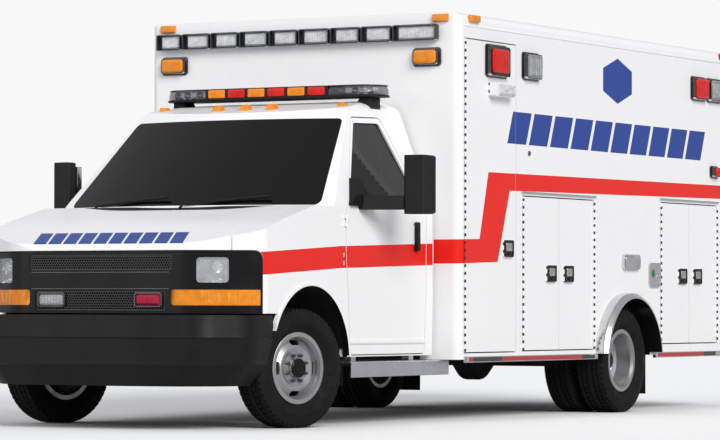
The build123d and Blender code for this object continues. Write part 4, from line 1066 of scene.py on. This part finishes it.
# rows: face, U from, U to, Z from, Z to, colour, body that carries it
BOX_LAMPS = [
    ("street", 2.966, 3.244, 2.266, 2.460, "red", "street_tall_door"),
    ("street", 3.480, 3.730, 2.262, 2.454, "clear", "chassis"),
    ("street", 6.215, 6.475, 2.266, 2.449, "red", "chassis"),
    ("street", 6.490, 6.750, 2.266, 2.449, "clear", "chassis"),
    ("street", 6.560, 6.700, 1.702, 1.797, "red", "chassis"),
    ("curb", 2.840, 3.118, 2.266, 2.460, "red", "chassis"),
    ("curb", 6.215, 6.475, 2.266, 2.449, "red", "chassis"),
    ("curb", 6.490, 6.750, 2.266, 2.449, "clear", "chassis"),
    ("curb", 6.560, 6.700, 1.702, 1.797, "red", "chassis"),
    ("front", 0.848, 1.056, 2.306, 2.432, "amber", "chassis"),
    ("front", -1.100, -0.892, 2.306, 2.432, "amber", "chassis"),
    ("rear", 0.800, 1.080, 2.360, 2.540, "red", "chassis"),
    ("rear", -1.080, -0.800, 2.360, 2.540, "red", "chassis"),
    ("rear", -0.140, 0.140, 2.380, 2.500, "clear", "chassis"),
    ("rear", 0.900, 1.080, 0.760, 0.960, "red", "chassis"),
    ("rear", -1.080, -0.900, 0.760, 0.960, "red", "chassis"),
    ("rear", 0.900, 1.080, 0.980, 1.100, "amber", "chassis"),
    ("rear", -1.080, -0.900, 0.980, 1.100, "amber", "chassis"),
]

# small lamps: middle with Y from the bumper's face, half sizes, colour, where it sits
MARKERS = [
    *((x, 1.985, 2.026, 0.034, 0.040, 0.022, "amber", "roof") for x in (-0.682, 0.672)),
    *((x, 1.900, 2.026, 0.034, 0.040, 0.022, "amber", "roof") for x in (-0.212, -0.004, 0.196)),
    *((x, 2.588, 2.622, 0.060, 0.012, 0.026, "amber", "front") for x in (-1.050, 1.050)),
    *((x, 2.790, 2.623, 0.012, 0.070, 0.024, "amber", "side") for x in (-1.202, 1.202)),
    *((x, 6.972, 2.622, 0.070, 0.012, 0.024, "red", "rear") for x in (-1.035, -0.200, 0.0, 0.200, 1.035)),
    *((x, 6.800, 2.623, 0.012, 0.070, 0.024, "red", "side") for x in (-1.202, 1.202)),
]
# Light bar, in metres
BAR_HALF = 0.818
BAR_FRONT = 2.140
BAR_REAR = 2.390
BAR_LOW = 2.096
BAR_MODULES = ("amber", "red", "amber", "red", "amber", "red")
MODULE_WIDTH = 0.152
MODULE_Z = (2.113, 2.167)
# rows of X and radius
BAR_REFLECTOR = [(0.0, 0.026), (0.004, 0.026), (-0.018, 0.008), (-0.022, 0.0), (-0.026, 0.0), (-0.022, 0.010)]


class MakeBoxLamps(bpy.types.Operator):
    """Warning, turn and marker lamps of the box, the cab roof and the light bar"""

    bl_idname = "ambulance.make_box_lamps"
    bl_label = "Box lamps"

    def execute(self, context):
        self.ribs = context.scene.ambulance_sizes.lens_ribs
        lenses = {"red": [], "clear": [], "amber": []}
        bodies, row = [], []
        for face, u0, u1, v0, v1, colour, body in BOX_LAMPS:
            on_door = body != "chassis"
            housing, lens = self.lamp(face, u0, u1, v0, v1, 0.014 if on_door else 0.0)
            if on_door:
                finished(joined("door_lamp_housing", [housing]), "lamp_shell", body)
                finished(joined("door_lamp_lens", [lens]), f"{colour}_lens", body)
            else:
                bodies.append(housing)
                lenses[colour].append(lens)
        for low, high in zip(LAMP_ROW_EDGES, LAMP_ROW_EDGES[1:]):
            housing, lens = self.row_lamp(low + 0.008, high - 0.008)
            bodies.append(housing)
            row.append(lens)
        for x, y, z, hx, hy, hz, colour, kind in MARKERS:
            lenses[colour].append(self.marker(x, y, z, hx, hy, hz, kind))
        for index, colour in enumerate(BAR_MODULES):
            x = (index - len(BAR_MODULES) / 2) * MODULE_WIDTH
            lenses[colour].append(self.bar_lens(x + 0.012, x + MODULE_WIDTH - 0.012))
        housings = joined("lamp_shells", bodies)
        finished(housings, "lamp_shell")
        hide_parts("lamp_housings")
        lenses["amber"] += self.turn_lenses()
        finished(joined("front_row_lenses", row), "row_lens")
        for colour, parts in lenses.items():
            piece = joined(f"{colour}_lenses", parts)
            finished(piece, f"{colour}_lens")
            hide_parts(f"{colour}_lamps")
        return {"FINISHED"}

    def lamp(self, face, u0, u1, v0, v1, wider):
        """A deep shell with a flange, and a crowned lens with upright ribs."""
        radius = min(0.022, (v1 - v0) * 0.2)

        def inside(margin_u, margin_v):
            return rounded(u0 + margin_u, u1 - margin_u, v0 + margin_v, v1 - margin_v, radius)

        edge = 0.012 - wider
        flange = plate("flange", face, inside(-wider, -wider), 0.0, 0.007, 0.002)
        shell = tray("shell", face, inside(edge, edge), 0.006, 0.040, 0.005, 0.006, 0.0015)
        lens = crowned("lens", face, inside(0.020, 0.018), 0.034, 0.053, 0.014)
        across, up = (u0 + 0.040, u1 - 0.040), (v0 + 0.040, v1 - 0.040)
        flutes = self.flutes(face, self.ribs, 0.0045, across, up, 0.0512)
        return joined("shell", [flange, shell]), joined("lens", [lens, *flutes])

    def flutes(self, face, count, radius, across, up, height):
        """Upright ribs spread evenly over a lens."""
        at = FACES[face]
        places = (across[0] + (across[1] - across[0]) * index / (count - 1) for index in range(count))
        return [pin("flute", radius, at(u, up[0], height), at(u, up[1], height), 8) for u in places]

    def row_lamp(self, u0, u1):
        """One unit of the row across the front: a recessed lens in a shell painted dark as shade, with a lip
        painted bright as a highlight.
        """
        v0, v1 = LAMP_ROW_Z
        shell = tray("shell", "front", rounded(u0, u1, v0, v1, 0.012), 0.0, 0.054, 0.006, 0.040, 0.0012)
        inner = rounded(u0 + 0.030, u1 - 0.010, v0 + 0.012, v1 - 0.012, 0.008)
        lens = crowned("lens", "front", inner, 0.010, 0.036, 0.010)
        across, up = (u0 + 0.050, u1 - 0.030), (v0 + 0.028, v1 - 0.028)
        flutes = self.flutes("front", self.ribs + 2, 0.004, across, up, 0.0345)
        return shell, joined("lens", [lens, *flutes])

    def marker(self, x, y, z, hx, hy, hz, kind):
        """A small lens, leaning in towards its top or its face."""
        lamp = slab("marker", x - hx, x + hx, y - hy, y + hy, z - hz, z + hz)
        edit(lamp)
        bpy.ops.mesh.select_mode(type="FACE")
        bpy.ops.mesh.select_all(action="DESELECT")
        close_edit()
        way = {
            "roof": Vector((0, 0, 1)), "front": Vector((0, -1, 0)), "rear": Vector((0, 1, 0)),
            "side": Vector((math.copysign(1, x), 0, 0)),
        }[kind]
        for face in lamp.data.polygons:
            face.select = face.normal.dot(way) > 0.9
        bpy.ops.object.mode_set(mode="EDIT")
        scale = 0.62 if kind == "roof" else 0.86
        bpy.ops.transform.resize(value=(scale, scale, scale))
        close_edit()
        return softened(lamp, 0.004, 3, 20)

    def bar_lens(self, x0, x1):
        """One coloured module of the light bar with small facets."""
        z0, z1 = MODULE_Z
        points = [(x, from_front(BAR_FRONT + 0.055), z) for x, z in rounded(x0, x1, z0, z1, 0.008)]
        lens = softened(pulled("module", points, (0, -0.056, 0)), 0.003)
        front = from_front(BAR_FRONT - 0.0005)
        xs = (x0 + (x1 - x0) * i / 8 for i in range(1, 8))
        ribs = [pin("facet", 0.0035, (x, front, z0 + 0.010), (x, front, z1 - 0.010), 8) for x in xs]
        return joined("module", [lens, *ribs])

    def turn_lenses(self):
        """The curved lenses of the turn lamps, taken from the frame's own."""
        copy = copied(frame["nodes"]["amber_lamps"], "turn_lens", Matrix.Identity(4))
        face_outward(copy)
        clear_selection()
        edit(copy)
        for point, normal in (((0, 0, 0.90), (0, 0, 1)), ((0, 0, 0.70), (0, 0, -1))):
            bpy.ops.mesh.select_all(action="SELECT")
            bpy.ops.mesh.bisect(plane_co=point, plane_no=normal, clear_outer=True)
        close_edit()
        copy.modifiers.clear()
        return [copy]


class MakeLightBar(bpy.types.Operator):
    """Roof bar: tray, smoked cover with clear ends, module frames and feet"""

    bl_idname = "ambulance.make_light_bar"
    bl_label = "Light bar"

    def execute(self, context):
        reach = MODULE_WIDTH * len(BAR_MODULES) / 2
        parts = [
            self.shell("tray", BAR_LOW, 2.110, 0.0, 0.004), self.shell("lid", 2.168, 2.174, 0.008, 0.0025)
        ]
        for index in range(len(BAR_MODULES) + 1):
            x = -reach + index * MODULE_WIDTH
            ends = (BAR_FRONT + 0.002, BAR_FRONT + 0.062)
            parts.append(slab("divider", x - 0.011, x + 0.011, *ends, 2.108, 2.170, 0.002))
        parts.append(slab("spine", -reach, reach, BAR_FRONT + 0.060, BAR_REAR - 0.010, 2.106, 2.171, 0.006))
        parts += [self.foot(x) for x in (-0.722, 0.722)]
        bar = joined("light_bar_body", parts)
        finished(bar, "trim_plastic")
        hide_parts("lightbar")
        domes = [self.dome(sign, reach) for sign in (1, -1)]
        finished(joined("light_bar_domes", domes), "smoked_lens")
        inner = [piece for sign in (1, -1) for piece in self.reflectors(sign)]
        finished(joined("light_bar_reflectors", inner), "chrome")
        return {"FINISHED"}

    def reflectors(self, sign):
        """Three reflectors in one end of the bar, and the deck under them."""
        parts = []
        for x, back in ((0.545, 0.060), (0.640, 0.060), (0.735, 0.090)):
            centre = (sign * x, from_front(BAR_FRONT + back), 2.139)
            parts.append(turned("reflector", BAR_REFLECTOR, 20, centre, (0, -1, 0)))
        ends = (BAR_FRONT + 0.10, BAR_REAR - 0.05)
        parts.append(slab("deck", sign * 0.50, sign * 0.775, *ends, 2.110, 2.128, 0.003))
        return parts

    def outline(self, margin):
        """Plan of the bar: its front corners cut back, its rear ones round."""
        half, front, rear = BAR_HALF - margin, BAR_FRONT + margin, BAR_REAR - margin
        right = [
            (half - 0.115, front), (half - 0.080, front + 0.010), (half - 0.012, front + 0.075),
            (half, front + 0.110), (half, rear - 0.055), (half - 0.018, rear - 0.018), (half - 0.055, rear),
        ]
        return right + [(-x, y) for x, y in reversed(right)]

    def shell(self, name, low, high, margin, edge):
        points = [(x, from_front(y), low) for x, y in self.outline(margin)]
        return softened(pulled(name, points, (0, 0, high - low)), edge)

    def dome(self, sign, reach):
        """A see-through end of the cover, leaning in towards its top."""
        inner, margin = reach + 0.012, 0.006
        plan = [(x, y) for x, y in self.outline(margin) if x > 0]
        plan = [(inner, BAR_FRONT + margin), *plan, (inner, BAR_REAR - margin)]
        piece = loop_of("dome", [(sign * x, from_front(y), 2.110) for x, y in plan])
        edit(piece)
        extrude((0, 0, 0.034))
        extrude((0, 0, 0.024))
        bpy.ops.transform.resize(value=(0.95, 0.90, 1))
        close_edit()
        face_outward(piece)
        return softened(piece, 0.004, 3, 25)

    def foot(self, x):
        """A slanted bracket from the roof gutter to the tray."""
        out = math.copysign(1, x)
        y0, y1 = BAR_FRONT + 0.060, BAR_REAR - 0.060
        z = self.roof(x) - 0.004
        z_out = self.roof(x + out * 0.075) - 0.004
        points = [
            (x - out * 0.085, y0, z), (x + out * 0.075, y0, z_out), (x + out * 0.030, y0, BAR_LOW + 0.004),
            (x - out * 0.045, y0, BAR_LOW + 0.004),
        ]
        return softened(pulled("foot", [(a, from_front(b), c) for a, b, c in points], (0, y1 - y0, 0)), 0.004)

    def roof(self, x):
        return surface("cab_shell", (x, from_front(2.26), 2.6), (0, 0, -1)).z


# Box fittings
# rows: carrying body, face, middle U, Z
LATCHES = (
    ("street_tall_door", "street", 3.274, 1.130), ("street_front_door_a", "street", 3.913, 0.970),
    ("street_front_door_b", "street", 4.177, 0.970), ("street_rear_door_a", "street", 6.058, 0.970),
    ("street_rear_door_b", "street", 6.322, 0.970), ("entry_door", "curb", 3.828, 1.130),
    ("curb_rear_door", "curb", 5.852, 0.970), ("rear_door_left", "rear", 0.075, 1.190),
)


# half sizes and the height of the door's plate
LATCH_SIZES = {"side": (0.068, 0.056, 0.0118), "rear": (0.032, 0.066, 0.0138)}


class MakeLatches(bpy.types.Operator):
    """Paddle latches with their sunk cups and locks"""

    bl_idname = "ambulance.make_latches"
    bl_label = "Door latches"

    def execute(self, context):
        for body, face, u, v in LATCHES:
            half_u, half_v, base = LATCH_SIZES["rear" if face == "rear" else "side"]
            at = FACES[face]
            outline = rounded(u - half_u, u + half_u, v - half_v, v + half_v, 0.012)
            cup = tray("frame", face, outline, base, base + 0.006, 0.012, 0.003, 0.001)
            low = v - half_v * 0.62
            lock = pin("lock", 0.009, at(u, low, base + 0.002), at(u, low, base + 0.008), 20, 0.001)
            finished(joined(f"latch_frame_{body}", [cup, lock]), "fascia_plastic", body)
            reach = half_u * 0.62
            outline = rounded(u - reach, u + reach, v - half_v * 0.30, v + half_v * 0.66, 0.008)
            paddle = crowned(f"latch_paddle_{body}", face, outline, base + 0.002, base + 0.011, 0.010, 0.002)
            finished(paddle, "aluminium", body)
        return {"FINISHED"}


# caps on the fuel filler: name, middle U, Z, radius, finish
CAPS = (("filler_cap", 5.545, 0.985, 0.032, "cap_green"), ("vent_cap", 5.620, 0.965, 0.022, "aluminium"))
# rows of X and radius
ROUND_LOCK = [
    (0.0, 0.0), (0.0, 0.018), (0.004, 0.018), (0.007, 0.014), (0.007, 0.006), (0.005, 0.005), (0.005, 0.0),
]


class MakeSideFittings(bpy.types.Operator):
    """Fuel filler, shore inlet, round lock, roof gutters and the lamp on the tall door"""

    bl_idname = "ambulance.make_side_fittings"
    bl_label = "Side fittings"

    def execute(self, context):
        at = FACES["street"]
        outline = rounded(5.480, 5.676, 0.886, 1.062, 0.040)
        rim = tray("filler_frame", "street", outline, 0.0, 0.014, 0.014, 0.004, 0.002)
        finished(rim, "aluminium")
        outline = rounded(5.496, 5.660, 0.902, 1.046, 0.030)
        cup = plate("filler_cup", "street", outline, 0.0035, 0.0055, 0.0005)
        finished(cup, "fascia_plastic")
        for name, u, v, radius, finish in CAPS:
            rows = [
                (0.005, 0.0), (0.005, radius), (0.012, radius), (0.0135, radius * 0.92),
                (0.0135, radius * 0.35), (0.019, radius * 0.30), (0.019, 0.0),
            ]
            finished(turned(name, rows, 32, at(u, v, 0.0), (1, 0, 0)), finish)
        outline = rounded(5.040, 5.310, 1.010, 1.116, 0.030)
        body = tray("inlet_body", "street", outline, 0.0215, 0.0235, 0.006, 0.0005, 0.0005)
        outline = rounded(5.056, 5.200, 1.022, 1.104, 0.016)
        cover = crowned("cover", "street", outline, 0.022, 0.034, 0.010, 0.002)
        hinge = pin("hinge", 0.004, at(5.060, 1.108, 0.028), at(5.196, 1.108, 0.028), 12)
        finished(joined("shore_inlet", [body, cover, hinge]), "aluminium")
        lock = turned("round_lock", ROUND_LOCK, 24, at(3.595, 1.774, 0.0), (1, 0, 0))
        finished(lock, "dark_metal")
        self.door_lamp(at)
        self.gutters()
        return {"FINISHED"}

    def door_lamp(self, at):
        """A low wide lens on the tall door."""
        outline = rounded(3.030, 3.262, 2.136, 2.212, 0.010)
        lens = crowned("lens", "street", outline, 0.056, 0.074, 0.012, 0.003)
        places = (3.05 + 0.024 * i for i in range(9))
        flutes = [pin("flute", 0.003, at(u, 2.150, 0.0735), at(u, 2.198, 0.0735), 8) for u in places]
        lamp = joined("door_scene_lamp", [lens, *flutes])
        finished(lamp, "row_lens", "street_tall_door")

    def gutters(self):
        """The drip gutter along both sides."""
        outline = rounded(2.665, 6.895, 2.570, 2.580, 0.003, 2)
        parts = [plate("gutter", face, outline, 0.0, 0.0035, 0.001) for face in ("street", "curb")]
        finished(joined("roof_gutters", parts), "coach_paint")


# Cab fittings; outlines are rows of Y from the bumper's face and Z
SEAT_SIDE = 0.430
SEAT_BACK = ((2.250, 0.930), (2.400, 0.930), (2.490, 1.560), (2.390, 1.580))
DASH = ((1.190, 0.880), (1.190, 1.298), (1.420, 1.288), (1.470, 1.150), (1.400, 0.900))
CAB_FLOOR = 0.640
# ends of the steering column: X, Y from the bumper's face, Z
COLUMN = ((0.40, 1.38, 1.08), (0.40, 1.65, 1.184))
WHEEL_RADIUS = 0.19


class MakeCabFittings(bpy.types.Operator):
    """Padded seats, dash, steering wheel, door handles and mirror glasses"""

    bl_idname = "ambulance.make_cab_fittings"
    bl_label = "Cab fittings"

    def execute(self, context):
        bases = []
        for sign, side in ((1, "left"), (-1, "right")):
            x = sign * SEAT_SIDE
            self.seat(x, side)
            bases.append(slab("base", x - 0.18, x + 0.18, 1.90, 2.30, CAB_FLOOR, 0.800, 0.012))
            bases.append(slab("post", x - 0.05, x + 0.05, 2.43, 2.46, 1.50, 1.62, 0.008))
            self.door_pieces(sign, side)
        outline = [Vector((-0.86, from_front(y), z)) for y, z in DASH]
        dash = softened(pulled("dash", outline, (1.72, 0, 0)), 0.025, 3)
        fittings = joined("cab_fittings", [dash, *bases, *self.steering()])
        finished(fittings, "trim_plastic")
        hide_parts("cab_interior")
        return {"FINISHED"}

    def seat(self, x, side):
        """Cushion, back and head rest with rounded edges."""
        outline = [Vector((x - 0.24, from_front(y), z)) for y, z in SEAT_BACK]
        back = softened(pulled("back", outline, (0.48, 0, 0)), 0.035, 4)
        cushion = slab("cushion", x - 0.25, x + 0.25, 1.84, 2.34, 0.800, 0.930, 0.045, 4)
        rest = slab("rest", x - 0.13, x + 0.13, 2.41, 2.50, 1.59, 1.76, 0.035, 4)
        seat = joined(f"seat_{side}", [cushion, back, rest])
        finished(seat, "seat_cloth")

    def steering(self):
        """The column, and a wheel with a hub and three spokes, leaning towards the driver."""
        low, high = (Vector((x, from_front(y), z)) for x, y, z in COLUMN)
        way = (high - low).normalized()
        clear_selection()
        bpy.ops.mesh.primitive_torus_add(
            major_segments=40, minor_segments=10, major_radius=WHEEL_RADIUS, minor_radius=0.014,
            location=high,
            rotation=way.to_track_quat("Z", "Y").to_euler(),
        )
        wheel = bpy.context.object
        place(wheel)
        across = Vector((1, 0, 0))
        down = across.cross(way)
        column = pin("column", 0.026, low, high, 16, 0.003)
        hub = pin("hub", 0.055, high - way * 0.02, high + way * 0.012, 24, 0.006)
        parts = [wheel, column, hub]
        for spoke in (across, -across, down):
            parts.append(pin("spoke", 0.012, high + spoke * 0.03, high + spoke * (WHEEL_RADIUS - 0.004), 10))
        return parts

    def door_pieces(self, sign, side):
        """The upright door handle and the glass at the mirror's rear."""
        low, high = sorted((sign * 1.012, sign * 1.0405))
        handle = slab(f"door_handle_{side}", low, high, 2.312, 2.358, 1.098, 1.287, 0.010, 3)
        finished(handle, "fascia_plastic", f"cab_door_{side}")
        low, high = sorted((sign * 1.250, sign * 1.418))
        glass = slab(f"mirror_glass_{side}", low, high, 1.800, 1.853, 1.350, 1.665, 0.0015, 1)
        finished(glass, "chrome", f"cab_door_{side}")


# Stage: the camera stands and looks as in the photograph; angles in radians
CAMERA_PLACE = (11.978, -21.229, 0.746)
CAMERA_AZIMUTH = 0.517573
CAMERA_PITCH = -0.024293
CAMERA_ROLL = 0.002273
CAMERA_LENS = 177.11
PALE = 0.94


class SetStage(bpy.types.Operator):
    """Adds the pale floor, the soft light and the camera"""

    bl_idname = "ambulance.set_stage"
    bl_label = "Stage"

    def execute(self, context):
        clear_selection()
        bpy.ops.mesh.primitive_plane_add(size=400, location=(0, 0, 0))
        floor = bpy.context.object
        floor.name = floor.data.name = "floor"
        ground = Finish("floor_paper", (0.6, 0.6, 0.6), 0.9, Specular_IOR_Level=0.0)
        seen = ground.node("ShaderNodeLightPath", {}).outputs["Is Camera Ray"]
        ground.link(ground.mixed(seen, (0.62, 0.62, 0.62, 1), (1.0, 1.0, 1.0, 1)), "Base Color")
        floor.data.materials.append(ground.material)
        self.light(context)
        self.camera(context)
        return {"FINISHED"}

    def light(self, context):
        """A soft sun from the street side and the front, and an even sky."""
        for name, place_of, strength, spread in (
            ("key", (9.0, -6.5, 6.0), 2.35, 30), ("fill", (-6.0, -9.0, 4.0), 0.75, 60),
        ):
            lamp = bpy.data.lights.new(name, "SUN")
            lamp.energy = strength
            lamp.angle = math.radians(spread)
            holder = bpy.data.objects.new(name, lamp)
            holder.rotation_euler = Vector(place_of).to_track_quat("Z", "Y").to_euler()
            context.scene.collection.objects.link(holder)
        world = bpy.data.worlds.new("sky")
        world.use_nodes = True
        context.scene.world = world
        nodes, links = world.node_tree.nodes, world.node_tree.links
        plain = nodes["Background"]
        plain.inputs["Color"].default_value = (0.95, 0.97, 1.0, 1)
        plain.inputs["Strength"].default_value = 0.46
        seen = nodes.new("ShaderNodeBackground")
        seen.inputs["Color"].default_value = (PALE, PALE, PALE, 1)
        path = nodes.new("ShaderNodeLightPath")
        either = nodes.new("ShaderNodeMath")
        either.operation = "MAXIMUM"
        links.new(path.outputs["Is Camera Ray"], either.inputs[0])
        links.new(path.outputs["Is Transmission Ray"], either.inputs[1])
        mix = nodes.new("ShaderNodeMixShader")
        links.new(either.outputs[0], mix.inputs[0])
        links.new(plain.outputs[0], mix.inputs[1])
        links.new(seen.outputs[0], mix.inputs[2])
        links.new(mix.outputs[0], nodes["World Output"].inputs[0])

    def camera(self, context):
        """The camera at the photograph's place and angle."""
        azimuth, pitch, roll = CAMERA_AZIMUTH, CAMERA_PITCH, CAMERA_ROLL
        forward = Vector((
            -math.sin(azimuth) * math.cos(pitch), math.cos(azimuth) * math.cos(pitch), -math.sin(pitch)
        ))
        right = Vector((math.cos(azimuth), math.sin(azimuth), 0))
        up = right.cross(forward)
        level = math.cos(roll), math.sin(roll)
        right, up = level[0] * right + level[1] * up, level[0] * up - level[1] * right
        data = bpy.data.cameras.new("photo_view")
        data.lens = CAMERA_LENS
        data.sensor_width = 36
        data.clip_end = 500
        camera = bpy.data.objects.new("photo_view", data)
        turn = Matrix((right, up, -forward)).transposed().to_4x4()
        camera.matrix_world = Matrix.Translation(CAMERA_PLACE) @ turn
        context.scene.collection.objects.link(camera)
        context.scene.camera = camera
        context.scene.view_settings.view_transform = "Standard"


class AmbulancePanel(bpy.types.Panel):
    """Lists the settings and the steps"""

    bl_idname = "VIEW3D_PT_ambulance"
    bl_label = "Ambulance"
    bl_space_type = "VIEW_3D"
    bl_region_type = "UI"
    bl_category = "Ambulance"

    def draw(self, context):
        for group in (context.scene.ambulance_colours, context.scene.ambulance_sizes):
            for key in group.__annotations__:
                self.layout.prop(group, key)
        for step in STEPS:
            self.layout.operator(step.bl_idname)


STEPS = (
    DressFrame, MakeTyres, MakeWheelNuts, MakeGrille, MakeFrontLamps, MakeBoxLamps, MakeLightBar, MakeLatches,
    MakeSideFittings, MakeCabFittings, SetStage,
)
CLASSES = (AmbulanceColours, AmbulanceSizes, *STEPS, AmbulancePanel)


def register():
    for each in CLASSES:
        bpy.utils.register_class(each)
    bpy.types.Scene.ambulance_colours = PointerProperty(type=AmbulanceColours)
    bpy.types.Scene.ambulance_sizes = PointerProperty(type=AmbulanceSizes)


def unregister():
    del bpy.types.Scene.ambulance_sizes
    del bpy.types.Scene.ambulance_colours
    for each in reversed(CLASSES):
        bpy.utils.unregister_class(each)


def main():
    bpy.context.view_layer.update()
    register()
    for step in STEPS:
        group, name = step.bl_idname.split(".")
        getattr(getattr(bpy.ops, group), name)()
    clear_selection()


if __name__ == "__main__":
    main()
